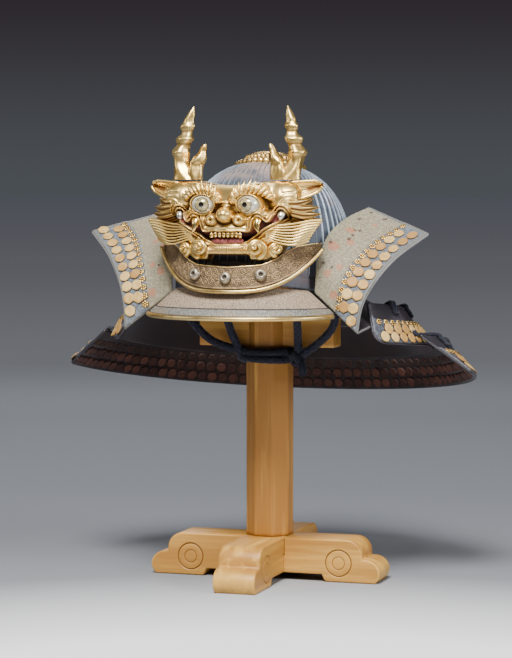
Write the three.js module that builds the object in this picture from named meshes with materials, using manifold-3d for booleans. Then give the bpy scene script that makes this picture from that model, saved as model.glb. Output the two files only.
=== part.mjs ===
// A samurai helmet (kabuto) on its wooden stand, in millimetres, +Z up, facing -Y.
// The ribbed iron bowl leans back on a post with crossed feet. A peak, a crescent plate with three
// rivets and a carved beast's mask with antlers are at its front, and a neck guard of three laced
// lames hangs round its sides and back. The first lame turns back beside the face as two wings.
import * as THREE from "three";
import { mergeVertices } from "three/addons/utils/BufferGeometryUtils.js";
import Module from "manifold-3d";

const wasm = await Module();
wasm.setup();

// ---- Driving dimensions ----
const GAP = 0.4; // clearance between neighbouring pieces
const SHEET = 2.4; // thickness of lacquered lames
const BAND_RISE = 1.6; // how far the bands that carry rows of scales stand out of a lame

const FOOT = { reach: 133, width: 47, height: 47, lift: 8, pad: 62, ringAt: 86, ringUp: 21 };
const POST = { flats: 49, top: 397 };
const CROSSBAR = { length: 156, depth: 30, low: 258, height: 34 };
const HEAD_BLOCK = { radius: 44, low: 397.6, shoulder: 410, high: 444 };

const BOWL = { halfWidth: 95, halfLength: 121, height: 143, roundness: 2.6, wall: 3, centreY: -18 };
const BRIM_Z = 316; // height of the bowl's brim above the floor, at its middle
const TILT = 8; // degrees that the bowl leans back
const RIBS = { count: 62, rise: 1.6 };
const WAIST = 12; // height of the plain band under the ribs
const CROWN_HOLE = 12;

// Rings on the crown: radii, heights off the dome and how far the petals swell.
const CROWN_RINGS = [
  { name: "crown_petals", inner: 13, outer: 34, from: 1.6, to: 4.4, petals: 1.4, sides: 30 },
  { name: "crown_beaded_ring", inner: 13, outer: 25, from: 5, to: 9.4, petals: 0.7, sides: 24 },
  { name: "crown_collar", inner: 13, outer: 17, from: 9.8, to: 15, petals: 0, sides: 16 },
];

const PEAK = { innerX: 76, innerY: -94, innerFront: -141, outerX: 105, outerY: -88, outerFront: -171 };
const PEAK_Z = { innerSide: 323, innerFront: 329, outerSide: 300, outerFront: 299 };
const PEAK_WALL = 2.6;
const RIM_RADIUS = 3.2; // gilt bead along the peak's edge
const PEAK_END = 79; // degrees from the front at which the peak ends, under the wings
const PEAK_RIM_END = 75;

const CRESCENT = { halfWidth: 88, frontY: -158, sideY: -103, bend: 2.2, lean: 5, wall: 2.4, rim: 2 };
const CRESCENT_LOW = { centre: 328, tip: 371, power: 3.3 };
const CRESCENT_HIGH = [
  { across: 0, z: 350 },
  { across: 0.4, z: 352.5 },
  { across: 0.5, z: 356 },
  { across: 0.6, z: 361.5 },
  { across: 0.68, z: 367.5 },
  { across: 0.78, z: 372 },
  { across: 0.9, z: 374 },
  { across: 1, z: 375 },
];
const RIVET = { radius: 6.5, height: 6, hollow: 2.2 };
const RIVETS = [
  { name: "rivet_right_side", across: -0.4, up: 0.55 },
  { name: "rivet_middle", across: 0, up: 0.5 },
  { name: "rivet_left_side", across: 0.4, up: 0.55 },
];
const HOLDER = { halfWidth: 17, low: 341, high: 356, thickness: 3 };

const MASK = { low: 357, high: 441, halfWidth: 76, frontY: -150, sideFall: 34, wall: 26 };
const MASK_OUTLINE = [
  { z: 357, halfWidth: 38 },
  { z: 366, halfWidth: 52 },
  { z: 378, halfWidth: 58 },
  { z: 395, halfWidth: 68 },
  { z: 415, halfWidth: 76 },
  { z: 432, halfWidth: 74 },
  { z: 441, halfWidth: 70 },
];
// Swellings of the face: centre, half width, half height and how far out. x 0 is single.
const MASK_RELIEF = [
  { x: 0, z: 405, wide: 15, high: 10, out: 20 },
  { x: 14, z: 402, wide: 7, high: 7, out: 10 },
  { x: 0, z: 392, wide: 30, high: 7, out: 7 },
  { x: 46, z: 398, wide: 14, high: 12, out: 9 },
  { x: 24, z: 432, wide: 20, high: 7, out: 8 },
  { x: 0, z: 387, wide: 26, high: 3, out: -8 },
  { x: 0, z: 380, wide: 22, high: 4, out: 8 },
  { x: 0, z: 369, wide: 26, high: 9, out: 6 },
  { x: 32, z: 366, wide: 12, high: 11, out: 9 },
  { x: 50, z: 369, wide: 8, high: 9, out: 6 },
];
// Limbs that stand out of the face's left side, repeated on its right side.
const MASK_LIMBS = {
  ear: [
    { x: 56, y: -124, z: 420, wide: 13, thick: 8 },
    { x: 72, y: -122, z: 427, wide: 10, thick: 6 },
    { x: 84, y: -121, z: 434, wide: 7, thick: 4 },
    { x: 92, y: -120, z: 439, wide: 1.5, thick: 1.5 },
  ],
  tuft: [
    { x: 62, y: -126, z: 408, wide: 10, thick: 6 },
    { x: 80, y: -122, z: 411, wide: 8, thick: 4 },
    { x: 94, y: -118, z: 414, wide: 1.5, thick: 1.5 },
  ],
  fin: [
    { x: 44, y: -142, z: 384, wide: 8, thick: 6 },
    { x: 64, y: -136, z: 383, wide: 11, thick: 5 },
    { x: 82, y: -130, z: 388, wide: 9, thick: 4 },
    { x: 96, y: -126, z: 397, wide: 1.5, thick: 1.5 },
  ],
};
const EYE = { x: 24.3, y: -155, z: 416, radius: 11 };

// Antler sections: height, middle and half width. The branch leaves the trunk near its foot.
const ANTLER_FLATNESS = 0.85;
const ANTLER_TRUNK = [
  { z: 442.5, x: 57, y: -117, r: 13.5 },
  { z: 445, x: 57, y: -117, r: 12.5 },
  { z: 452, x: 61, y: -116, r: 10.5 },
  { z: 463, x: 64, y: -114, r: 8.4 },
  { z: 472, x: 65, y: -113, r: 10 },
  { z: 479, x: 62, y: -112, r: 7.6 },
  { z: 486, x: 60, y: -111, r: 9.6 },
  { z: 493, x: 58.5, y: -110, r: 6 },
  { z: 499, x: 58, y: -109, r: 7.4 },
  { z: 507, x: 57, y: -108, r: 5.4 },
  { z: 515, x: 54.5, y: -107, r: 3.4 },
  { z: 521, x: 52.5, y: -106, r: 0.8 },
];
const ANTLER_BRANCH = [
  { z: 442.5, x: 47.5, y: -119, r: 9.5 },
  { z: 445, x: 47.5, y: -119, r: 9.3 },
  { z: 455, x: 46.6, y: -118, r: 8.8 },
  { z: 463, x: 44.6, y: -117, r: 7.8 },
  { z: 469, x: 42.2, y: -117, r: 6.6 },
  { z: 473, x: 39.8, y: -116, r: 4.4 },
  { z: 480, x: 36.5, y: -116, r: 1.4 },
];

// Edges of the lames. Each is half an ellipse behind its centre and part of another in front of it:
// half width, half lengths behind and in front, centre, the angle of its front ends from the back,
// and heights at the back, the sides and the front ends. The band of scales starts part way down.
const LAMES = [
  {
    name: "neck_lame_top",
    bandFrom: 1,
    upper: { rx: 99.5, back: 125, front: 134, cy: -19, end: 126, zBack: 302, zSide: 319, zFront: 322 },
    lower: { rx: 142, back: 165, front: 224, cy: -20, end: 113.7, zBack: 272, zSide: 297, zFront: 281 },
  },
  {
    name: "neck_lame_middle",
    bandFrom: 0.42,
    upper: { rx: 151, back: 168, front: 124, cy: -14, end: 119, zBack: 281, zSide: 305, zFront: 311 },
    lower: { rx: 178, back: 175, front: 167, cy: 10, end: 126, zBack: 232, zSide: 262, zFront: 270 },
  },
  {
    name: "neck_lame_bottom",
    bandFrom: 0.36,
    upper: { rx: 191, back: 174, front: 172, cy: 18, end: 108.6, zBack: 240, zSide: 268.6, zFront: 274.7 },
    lower: { rx: 231, back: 222, front: 52, cy: -12, end: 93.3, zBack: 194, zSide: 234, zFront: 235.6 },
  },
];

// Lines across a wing after the fold, evenly spaced to its free end: inner end and outer end.
const WING = [
  { inner: [82, -92, 357], outer: [134, -105, 309] },
  { inner: [87, -69, 383], outer: [143, -94, 331] },
  { inner: [95, -24, 400], outer: [162, -75, 358] },
  { inner: [108, 20, 411], outer: [192, -49, 384] },
];
const WING_BAND = { fold: 0.5, end: 0.62 }; // where the band of scales starts across a wing

// Laces: how far down each lame they start and end, and how far above the edge they turn.
const LACE = { width: 12, thickness: 2, from: 0.72, to: 0.26, above: 3 };
const LACE_ANGLES = {
  upper: [-102, -80, -54, -28, 0, 28, 54, 80, 102],
  lower: [-96, -75, -50, -25, 0, 25, 50, 75, 96],
};

const CORD_RADIUS = 4.5;
const CORD_LOOP = 32.5; // radius of the turns round the post
const CORD_TURNS = [253, 245.2];
const KNOT = { radius: 9, at: [38, -22, 246] };
const CORD_STRANDS = {
  rightOuter: [[-88, -48, 310], [-74, -44, 284], [-54, -36, 264], [-27, -20, 249]],
  rightInner: [[-52, -88, 322], [-36, -56, 296], [-33, -34, 272], [-27, -20, 249]],
  leftInner: [[56, -86, 322], [48, -56, 294], [42, -32, 268], [38, -22, 248]],
  leftOuter: [[90, -48, 310], [84, -38, 284], [66, -30, 265], [38, -22, 248]],
  freeEnd: [[38, -22, 248], [45, -26, 238], [46, -26, 228]],
};

// ---- Materials ----
const finish = (color, roughness, metalness) =>
  new THREE.MeshStandardMaterial({ color, roughness, metalness });
const MATERIALS = {
  iron: finish(0x4d545c, 0.45, 0.7),
  gilt: finish(0xd9a441, 0.3, 1),
  engraved: finish(0x7b684a, 0.45, 0.8),
  leather: finish(0x9a9788, 0.75, 0),
  lacquer: finish(0x2a2427, 0.35, 0),
  cord: finish(0x171a2b, 0.85, 0),
  enamel: finish(0xe8e6da, 0.25, 0),
  wood: finish(0xc08a4a, 0.55, 0),
};

// ---- Helpers ----
const DEG = Math.PI / 180;
const vec = (x, y, z) => new THREE.Vector3(x, y, z);
const mix = (a, b, t) => a + (b - a) * t;
const bump = (distance) => Math.exp(-distance * distance);

// Evenly spaced values from a to b, both included.
const steps = (a, b, count) => Array.from({ length: count + 1 }, (_, i) => mix(a, b, i / count));

// The value of one column of a table at a place given in another column, in straight stretches.
function lookUp(rows, key, place, column) {
  const next = rows.findIndex((row) => row[key] >= place);
  if (next < 1) return rows[next === 0 ? 0 : rows.length - 1][column];
  const [low, high] = [rows[next - 1], rows[next]];
  return mix(low[column], high[column], (place - low[key]) / (high[key] - low[key]));
}

function geometryOf(points, triangles) {
  const geometry = new THREE.BufferGeometry();
  const position = new Float32Array(points.flatMap((p) => [p.x, p.y, p.z]));
  geometry.setAttribute("position", new THREE.BufferAttribute(position, 3));
  geometry.setIndex(triangles.flat());
  return facingOut(geometry);
}

// Turns the faces round if they point inwards, which shows as a negative volume.
function facingOut(geometry) {
  const position = geometry.getAttribute("position");
  const index = geometry.index.array;
  const [a, b, c] = [vec(), vec(), vec()];
  let volume = 0;
  for (let i = 0; i < index.length; i += 3) {
    a.fromBufferAttribute(position, index[i]);
    b.fromBufferAttribute(position, index[i + 1]);
    c.fromBufferAttribute(position, index[i + 2]);
    volume += a.dot(b.cross(c));
  }
  if (volume < 0)
    for (let i = 0; i < index.length; i += 3) [index[i], index[i + 1]] = [index[i + 1], index[i]];
  return geometry;
}

const quad = (a, b, c, d) => [a, b, c, a, c, d];

// The points of a surface at every pair of its two parameters.
const gridOf = (us, vs, surface) => us.map((u) => vs.map((v) => surface(u, v)));

// A closed sheet between two grids of points of the same size.
function between(outer, inner) {
  const columns = outer.length;
  const rows = outer[0].length;
  const at = (side, i, j) => (side * columns + i) * rows + j;
  const edge = (turned, ...corners) => quad(...(turned ? corners.reverse() : corners));
  const triangles = [];
  for (let i = 0; i + 1 < columns; i++) {
    for (let j = 0; j + 1 < rows; j++) {
      triangles.push(quad(at(0, i, j), at(0, i + 1, j), at(0, i + 1, j + 1), at(0, i, j + 1)));
      triangles.push(quad(at(1, i, j), at(1, i, j + 1), at(1, i + 1, j + 1), at(1, i + 1, j)));
    }
    for (const j of [0, rows - 1])
      triangles.push(edge(j > 0, at(0, i, j), at(1, i, j), at(1, i + 1, j), at(0, i + 1, j)));
  }
  for (let j = 0; j + 1 < rows; j++)
    for (const i of [0, columns - 1])
      triangles.push(edge(i === 0, at(0, i, j), at(1, i, j), at(1, i, j + 1), at(0, i, j + 1)));
  return geometryOf([...outer.flat(), ...inner.flat()], triangles);
}

// The directions that stand square on a grid of points, from each point's neighbours.
function normalsOf(grid) {
  return grid.map((column, i) =>
    column.map((_, j) => {
      const beside = (di) => grid[Math.min(grid.length - 1, Math.max(0, i + di))][j];
      const above = (dj) => column[Math.min(column.length - 1, Math.max(0, j + dj))];
      const across = beside(1).clone().sub(beside(-1));
      const along = above(1).clone().sub(above(-1));
      return across.cross(along).normalize();
    }),
  );
}

// A sheet of even thickness about a surface. rise gives what is added in front and behind.
function shell(us, vs, surface, thickness, rise = () => [0, 0]) {
  const middle = gridOf(us, vs, surface);
  const normals = normalsOf(middle);
  const side = (sign, which) =>
    middle.map((column, i) =>
      column.map((p, j) => {
        const offset = thickness / 2 + rise(us[i], vs[j])[which];
        return p.clone().addScaledVector(normals[i][j], sign * offset);
      }),
    );
  return between(side(1, 0), side(-1, 1));
}

// A ring-shaped solid: a closed section of points, given at each of a number of angles round a loop.
function ringSolid(count, section) {
  const sections = Array.from({ length: count }, (_, i) => section(((2 * Math.PI) / count) * i, i));
  const size = sections[0].length;
  const triangles = [];
  for (let i = 0; i < count; i++)
    for (let k = 0; k < size; k++) {
      const [next, over] = [((i + 1) % count) * size, (k + 1) % size];
      triangles.push(quad(i * size + k, next + k, next + over, i * size + over));
    }
  return geometryOf(sections.flat(), triangles);
}

// A closed skin over rings of points of equal size, with a flat cap at either end.
function loft(rings) {
  const size = rings[0].length;
  const last = (rings.length - 1) * size;
  const triangles = [];
  for (let k = 0; k + 1 < rings.length; k++)
    for (let i = 0; i < size; i++) {
      const j = (i + 1) % size;
      triangles.push(quad(k * size + i, k * size + j, (k + 1) * size + j, (k + 1) * size + i));
    }
  for (let i = 1; i + 1 < size; i++) {
    triangles.push([0, i + 1, i]);
    triangles.push([last, last + i, last + i + 1]);
  }
  return geometryOf(rings.flat(), triangles);
}

// A tapering limb through sections with a centre, a half width and a half thickness.
function limb(rows, sides = 8) {
  const centres = rows.map((row) => vec(row.x, row.y, row.z));
  const rings = rows.map((row, k) => {
    const ahead = centres[Math.min(rows.length - 1, k + 1)];
    const heading = ahead.clone().sub(centres[Math.max(0, k - 1)]).normalize();
    const broad = heading.clone().cross(vec(0, 1, 0)).normalize();
    const deep = heading.clone().cross(broad);
    return Array.from({ length: sides }, (_, i) => {
      const a = ((2 * Math.PI) / sides) * i;
      const point = centres[k].clone().addScaledVector(broad, row.wide * Math.cos(a));
      return point.addScaledVector(deep, row.thick * Math.sin(a));
    });
  });
  return loft(rings);
}

function solidOf(geometry) {
  const bare = geometry.clone();
  bare.deleteAttribute("normal");
  bare.deleteAttribute("uv");
  const merged = mergeVertices(bare, 1e-3);
  const corners = Array.from(merged.index.array);
  const kept = [];
  for (let i = 0; i < corners.length; i += 3) {
    const [a, b, c] = corners.slice(i, i + 3);
    if (a !== b && b !== c && c !== a) kept.push(a, b, c);
  }
  return new wasm.Manifold(
    new wasm.Mesh({
      numProp: 3,
      vertProperties: merged.getAttribute("position").array,
      triVerts: new Uint32Array(kept),
    }),
  );
}

function geometryFrom(solid) {
  const made = solid.getMesh();
  const geometry = new THREE.BufferGeometry();
  geometry.setAttribute("position", new THREE.BufferAttribute(made.vertProperties, 3));
  geometry.setIndex(new THREE.BufferAttribute(made.triVerts, 1));
  return geometry;
}

const joined = (...parts) => geometryFrom(parts.map(solidOf).reduce((all, next) => all.add(next)));
const cut = (body, ...tools) =>
  geometryFrom(tools.map(solidOf).reduce((rest, tool) => rest.subtract(tool), solidOf(body)));

function piece(name, geometry, material) {
  const mesh = new THREE.Mesh(geometry, material);
  mesh.name = name;
  return mesh;
}

// A geometry turned and moved, for use before a join or a cut.
function placed(geometry, at, turn = [0, 0, 0]) {
  const matrix = new THREE.Matrix4().makeRotationFromEuler(new THREE.Euler(...turn));
  return geometry.applyMatrix4(matrix.setPosition(...at));
}

// The same limb or panel on the other side of the middle plane.
const mirrored = (geometry) => {
  const copy = geometry.clone().applyMatrix4(new THREE.Matrix4().makeScale(-1, 1, 1));
  return facingOut(copy.index ? copy : mergeVertices(copy, 1e-3));
};

// A round cord along a smooth curve through points.
function cordAlong(points, radius, length, sides = 6) {
  const path = new THREE.CatmullRomCurve3(points.map((p) => vec(...p)), false, "centripetal");
  const section = new THREE.Shape();
  section.absarc(0, 0, radius, 0, 2 * Math.PI);
  const settings = { steps: length, extrudePath: path, curveSegments: sides / 2 };
  return new THREE.ExtrudeGeometry(section, settings);
}

// ---- Stand ----
// Side outline of a crossed foot: flat top, two rounded lobes at each end and a raised underside.
function footOutline() {
  const { reach, height, lift, pad } = FOOT;
  const half = (side) => {
    const line = [
      [side * (reach - pad - 4), lift],
      [side * (reach - pad), 0],
      [side * (reach - 5), 0],
      [side * (reach - 1), 3],
    ];
    for (const t of steps(0, 1, 4)) {
      const a = mix(-10, 100, t) * DEG;
      line.push([side * (reach - 17 + 17 * Math.cos(a)), 11 + 15 * Math.sin(a)]);
    }
    for (const t of steps(0, 1, 4)) {
      const a = mix(-5, 90, t) * DEG;
      line.push([side * (reach - 37 + 17 * Math.cos(a)), 30 + (height - 30) * Math.sin(a)]);
    }
    return line;
  };
  const right = half(1);
  const left = half(-1).reverse();
  return new THREE.Shape([...right, ...left].map(([x, y]) => new THREE.Vector2(x, y)));
}

// The carved target on a foot's side: a sunk ring round a raised middle.
function ringTool(outer, inner) {
  const depth = 1.6;
  const points = [
    [inner, -depth],
    [outer, -depth],
    [outer, depth],
    [inner, depth],
    [inner, -depth],
  ];
  return new THREE.LatheGeometry(points.map(([r, y]) => new THREE.Vector2(r, y)), 10);
}

function footBeam() {
  const beam = new THREE.ExtrudeGeometry(footOutline(), { depth: FOOT.width, bevelEnabled: false });
  placed(beam, [0, FOOT.width / 2, 0], [Math.PI / 2, 0, 0]);
  const tools = [];
  for (const end of [-1, 1])
    for (const face of [-1, 1])
      for (const [outer, inner] of [[16, 14.6], [8, 6.8]])
        tools.push(placed(ringTool(outer, inner), [end * FOOT.ringAt, (face * FOOT.width) / 2, FOOT.ringUp]));
  return cut(beam, ...tools);
}

// Half of the cross lap: the block that the other beam takes out of this one.
function lapTool(upper) {
  const size = FOOT.width + 2 * GAP;
  const middle = FOOT.height / 2 + FOOT.lift / 2;
  const block = new THREE.BoxGeometry(size, 3 * FOOT.width, FOOT.height);
  const offset = FOOT.height / 2 + (upper ? -GAP / 2 : GAP / 2);
  return placed(block, [0, 0, middle + (upper ? offset : -offset)]);
}

// The rounded block on the post's top, inside the bowl.
function headBlock() {
  const { radius, low, shoulder, high } = HEAD_BLOCK;
  const dome = steps(0, 90, 5).map((a) => [
    radius * Math.cos(a * DEG),
    shoulder + (high - shoulder) * Math.sin(a * DEG),
  ]);
  const outline = [[0, low], [radius - 6, low], ...dome].map(([r, z]) => new THREE.Vector2(r, z));
  return placed(new THREE.LatheGeometry(outline, 16), [0, 0, 0], [Math.PI / 2, 0, 0]);
}

function makeStand() {
  const stand = new THREE.Group();
  const sideways = piece("foot_beam_sideways", cut(footBeam(), lapTool(true)), MATERIALS.wood);
  const lengthways = piece("foot_beam_lengthways", cut(footBeam(), lapTool(false)), MATERIALS.wood);
  lengthways.rotation.z = Math.PI / 2;

  const across = POST.flats / 2 / Math.cos(22.5 * DEG);
  const shaft = new THREE.CylinderGeometry(across, across, POST.top - FOOT.height - GAP, 8);
  placed(shaft, [0, 0, (POST.top + FOOT.height + GAP) / 2], [Math.PI / 2, 22.5 * DEG, 0]);
  const bar = new THREE.BoxGeometry(CROSSBAR.length, CROSSBAR.depth, CROSSBAR.height);
  placed(bar, [0, 0, CROSSBAR.low + CROSSBAR.height / 2]);
  const slotted = cut(
    shaft,
    placed(
      new THREE.BoxGeometry(4 * CROSSBAR.depth, CROSSBAR.depth + 2 * GAP, CROSSBAR.height + 2 * GAP),
      [0, 0, CROSSBAR.low + CROSSBAR.height / 2],
    ),
  );
  stand.add(sideways, lengthways);
  stand.add(piece("post", slotted, MATERIALS.wood));
  stand.add(piece("crossbar", bar, MATERIALS.wood));
  stand.add(piece("head_block", headBlock(), MATERIALS.wood));
  return stand;
}

// ---- Bowl and crown ----
// A point of the dome in the bowl's own frame: the angle is counted from the right side (+X) through
// the back (+Y), and level runs from 0 at the brim to 1 at the top.
function domePoint(angle, level, offset = 0) {
  const power = 2 / BOWL.roundness;
  const lean = (Math.PI / 2) * level;
  const across = Math.cos(lean) ** power;
  const up = Math.sin(lean) ** power;
  return vec(
    (BOWL.halfWidth + offset) * across * Math.cos(angle),
    (BOWL.halfLength + offset) * across * Math.sin(angle),
    (BOWL.height + offset) * up,
  );
}

// The level at which the dome's width has shrunk to a given radius.
function levelAt(radius) {
  const across = (radius / BOWL.halfWidth) ** (BOWL.roundness / 2);
  return Math.acos(across) / (Math.PI / 2);
}

// The dome's height over a place in its own frame.
function domeHeight(x, y) {
  const across = Math.hypot(x / BOWL.halfWidth, y / BOWL.halfLength) ** BOWL.roundness;
  return BOWL.height * (1 - across) ** (1 / BOWL.roundness);
}

// The dome's front surface in the standing frame, found by halving the distance.
function domeFrontY(x, z) {
  const tilt = TILT * DEG;
  const up = z - BRIM_Z;
  const inside = (y) => {
    const back = y - BOWL.centreY;
    const across = Math.hypot(
      x / BOWL.halfWidth,
      (back * Math.cos(tilt) - up * Math.sin(tilt)) / BOWL.halfLength,
    );
    const height = (back * Math.sin(tilt) + up * Math.cos(tilt)) / BOWL.height;
    return across ** BOWL.roundness + Math.max(0, height) ** BOWL.roundness < 1;
  };
  let [near, far] = [BOWL.centreY - 2 * BOWL.halfLength, BOWL.centreY];
  for (let i = 0; i < 20; i++) {
    const middle = (near + far) / 2;
    if (inside(middle)) far = middle;
    else near = middle;
  }
  return inside(BOWL.centreY) ? near : BOWL.centreY;
}

// The ribbed shell: ridges and valleys take turns round it, between a plain band and the crown.
function bowlGeometry() {
  const top = levelAt(CROWN_HOLE);
  const waist = (Math.asin((WAIST / BOWL.height) ** (BOWL.roundness / 2)) * 2) / Math.PI;
  const levels = [0, waist, 0.32, 0.55, 0.76, top];
  const round = (count, level, rise, drop = 0) =>
    Array.from({ length: count }, (_, i) => {
      const point = domePoint(((2 * Math.PI) / count) * i, level, rise(i));
      point.z -= drop;
      return point;
    });
  const ridge = (level) => (i) => (i % 2 === 0 && level > waist && level < top ? RIBS.rise : 0);
  const outside = loft(levels.map((level) => round(2 * RIBS.count, level, ridge(level))));
  const wall = () => -BOWL.wall;
  const hollow = [
    round(40, 0, wall, 2 * BOWL.wall),
    ...[0, 0.2, 0.4, 0.6, 0.8, top].map((level) => round(40, level, wall)),
    round(40, top, wall, -3 * BOWL.wall),
  ];
  return cut(outside, loft(hollow));
}

// A ring on the crown from one radius to another, standing off the dome between two heights.
function crownRing({ inner, outer, from, to, petals, sides }) {
  return ringSolid(sides, (angle) => {
    const rim = outer + petals * Math.cos((angle * sides) / 3);
    const middle = (inner + rim) / 2;
    const lines = [[inner, from], [middle, from], [rim, from], [rim, to], [middle, to], [inner, to]];
    return lines.map(([radius, offset]) => {
      const [x, y] = [radius * Math.cos(angle), radius * Math.sin(angle)];
      return vec(x, y, domeHeight(x, y) + offset);
    });
  });
}

function makeBowl() {
  const bowl = new THREE.Group();
  bowl.position.set(0, BOWL.centreY, BRIM_Z);
  bowl.rotation.x = -TILT * DEG;
  bowl.add(piece("bowl", bowlGeometry(), MATERIALS.iron));
  for (const ring of CROWN_RINGS) bowl.add(piece(ring.name, crownRing(ring), MATERIALS.gilt));
  return bowl;
}

// ---- Peak and crescent plate ----
// The peak's surface: across runs from -90 to 90 degrees, out from the bowl to the free edge.
function peakPoint(across, out, beyond = 0) {
  const a = across * DEG;
  const side = 1 - Math.cos(a);
  const inner = vec(
    PEAK.innerX * Math.sin(a),
    mix(PEAK.innerFront, PEAK.innerY, side),
    mix(PEAK_Z.innerFront, PEAK_Z.innerSide, side),
  );
  const outer = vec(
    PEAK.outerX * Math.sin(a),
    mix(PEAK.outerFront, PEAK.outerY, side),
    mix(PEAK_Z.outerFront, PEAK_Z.outerSide, side),
  );
  const away = outer.clone().sub(inner).normalize();
  return inner.lerp(outer, out).addScaledVector(away, beyond);
}

function makePeak() {
  const leather = shell(steps(-PEAK_END, PEAK_END, 22), [0, 1], peakPoint, PEAK_WALL);
  const beyond = RIM_RADIUS + 2 * GAP;
  const edge = steps(-PEAK_RIM_END, PEAK_RIM_END, 20).map((a) => peakPoint(a, 1, beyond).toArray());
  return [
    piece("peak", leather, MATERIALS.leather),
    piece("peak_rim", cordAlong(edge, RIM_RADIUS, 18), MATERIALS.gilt),
  ];
}

// The crescent plate: across from -1 to 1, up from its lower edge to its upper edge.
function crescentPoint(across, up) {
  const a = Math.abs(across);
  const low = mix(CRESCENT_LOW.centre, CRESCENT_LOW.tip, a ** CRESCENT_LOW.power);
  const high = lookUp(CRESCENT_HIGH, "across", a, "z");
  const back = mix(CRESCENT.frontY, CRESCENT.sideY, a ** CRESCENT.bend);
  return vec(across * CRESCENT.halfWidth, back + CRESCENT.lean * up, mix(low, high, up));
}

function makeCrescent() {
  const plate = shell(steps(-1, 1, 22), [0, 1], crescentPoint, CRESCENT.wall);
  const drop = RIM_RADIUS + GAP;
  const edge = steps(-1, 1, 14).map((across) => {
    const low = crescentPoint(across, 0);
    const ahead = crescentPoint(across + 0.02, 0).sub(crescentPoint(across - 0.02, 0));
    const down = vec(ahead.z, 0, -ahead.x).normalize();
    return low.addScaledVector(down, drop).toArray();
  });
  const rivets = RIVETS.map(({ name, across, up }) => {
    const at = crescentPoint(across, up);
    const side = crescentPoint(across + 0.01, up).sub(crescentPoint(across - 0.01, up));
    const rise = crescentPoint(across, 1).sub(crescentPoint(across, 0));
    const normal = side.cross(rise).normalize();
    const rivet = piece(name, new THREE.LatheGeometry(rivetOutline(), 8), MATERIALS.gilt);
    rivet.position.copy(at.addScaledVector(normal, CRESCENT.wall / 2 + 2 * GAP));
    rivet.quaternion.setFromUnitVectors(vec(0, 1, 0), normal);
    return rivet;
  });
  return [
    piece("crescent_plate", plate, MATERIALS.engraved),
    piece("crescent_rim", cordAlong(edge, CRESCENT.rim, 18), MATERIALS.gilt),
    ...rivets,
  ];
}

// A domed rivet with a hollow in its top.
function rivetOutline() {
  const { radius, height, hollow } = RIVET;
  const dome = steps(0, 70, 5).map((a) => [radius * Math.cos(a * DEG), height * Math.sin(a * DEG)]);
  const outline = [[0, 0], ...dome, [hollow, height * 0.8], [0, height * 0.55]];
  return outline.map(([r, y]) => new THREE.Vector2(r, y));
}

// The dark plate between the crescent and the bowl, that carries the mask.
function makeHolder() {
  const { halfWidth, low, high, thickness } = HOLDER;
  const point = (across, up) => {
    const [x, z] = [across * halfWidth, mix(low, high, up)];
    return vec(x, domeFrontY(x, low) - RIBS.rise - thickness / 2 - 2 * GAP, z);
  };
  return piece("crest_holder", shell(steps(-1, 1, 6), [0, 1], point, thickness), MATERIALS.lacquer);
}

// ---- Mask ----
// The face's relief: a rounded front with a raised or sunk swelling for each row of the table.
function faceY(x, z) {
  let y = MASK.frontY + MASK.sideFall * (Math.abs(x) / MASK.halfWidth) ** 2.2;
  for (const row of MASK_RELIEF)
    for (const side of row.x === 0 ? [1] : [-1, 1])
      y -= row.out * bump(Math.hypot((x - side * row.x) / row.wide, (z - row.z) / row.high));
  return y;
}

function faceGeometry() {
  const us = steps(-1, 1, 18);
  const vs = steps(MASK.low, MASK.high, 12);
  const halfWidth = (z) => lookUp(MASK_OUTLINE, "z", z, "halfWidth");
  const front = gridOf(us, vs, (u, z) => vec(u * halfWidth(z), faceY(u * halfWidth(z), z), z));
  const back = gridOf(us, vs, (u, z) => {
    const x = u * halfWidth(z);
    const clear = domeFrontY(x, z) - RIBS.rise - 3 * GAP;
    return vec(x, Math.min(clear, faceY(x, z) + MASK.wall), z);
  });
  return between(front, back);
}

function makeMask() {
  const limbs = Object.values(MASK_LIMBS).map((rows) => limb(rows));
  const carved = joined(faceGeometry(), ...limbs, ...limbs.map(mirrored));
  const balls = [-1, 1].map((side) => [side * EYE.x, EYE.y, EYE.z]);
  const ball = (radius, at) => placed(new THREE.SphereGeometry(radius, 10, 7), at);
  const face = cut(carved, ...balls.map((at) => ball(EYE.radius + GAP, at)));
  const eyes = balls.map((at, i) =>
    piece(["eye_right_side", "eye_left_side"][i], ball(EYE.radius, at), MATERIALS.enamel),
  );
  return [piece("mask", face, MATERIALS.gilt), ...eyes];
}

// One antler: a knotted trunk with a short branch towards the middle.
function antlerGeometry() {
  const rows = (table) =>
    table.map(({ x, y, z, r }) => ({ x, y, z, wide: r, thick: r * ANTLER_FLATNESS }));
  return joined(limb(rows(ANTLER_TRUNK)), limb(rows(ANTLER_BRANCH)));
}

// ---- Neck guard ----
// A point of a lame's edge; the angle is counted from the middle of the back.
function edgePoint(edge, angle) {
  const a = angle * DEG;
  const front = Math.abs(angle) > 90;
  const ahead = (Math.abs(angle) - 90) / (edge.end - 90);
  const rise = 1 - Math.cos(a);
  return vec(
    edge.rx * Math.sin(a),
    edge.cy + (front ? edge.front : edge.back) * Math.cos(a),
    front ? mix(edge.zSide, edge.zFront, ahead) : mix(edge.zBack, edge.zSide, rise),
  );
}

// A lame's surface: turn from -1 to 1 between its front ends, down from its upper to lower edge.
function lamePoint(lame, turn, down) {
  const upper = edgePoint(lame.upper, turn * lame.upper.end);
  return upper.lerp(edgePoint(lame.lower, turn * lame.lower.end), down);
}

// A wing's surface carries on from the lame's front end, along from 0 at the fold to 1.
function wingPoint(side, along, down) {
  const fold = [lamePoint(LAMES[0], 1, 0), lamePoint(LAMES[0], 1, 1)];
  const line = (column, start) => {
    const points = [start, ...WING.map((row) => vec(...row[column]))];
    return new THREE.CatmullRomCurve3(points, false, "centripetal").getPoint(along);
  };
  const point = line("inner", fold[0]).lerp(line("outer", fold[1]), down);
  point.x *= side;
  return point;
}

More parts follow.
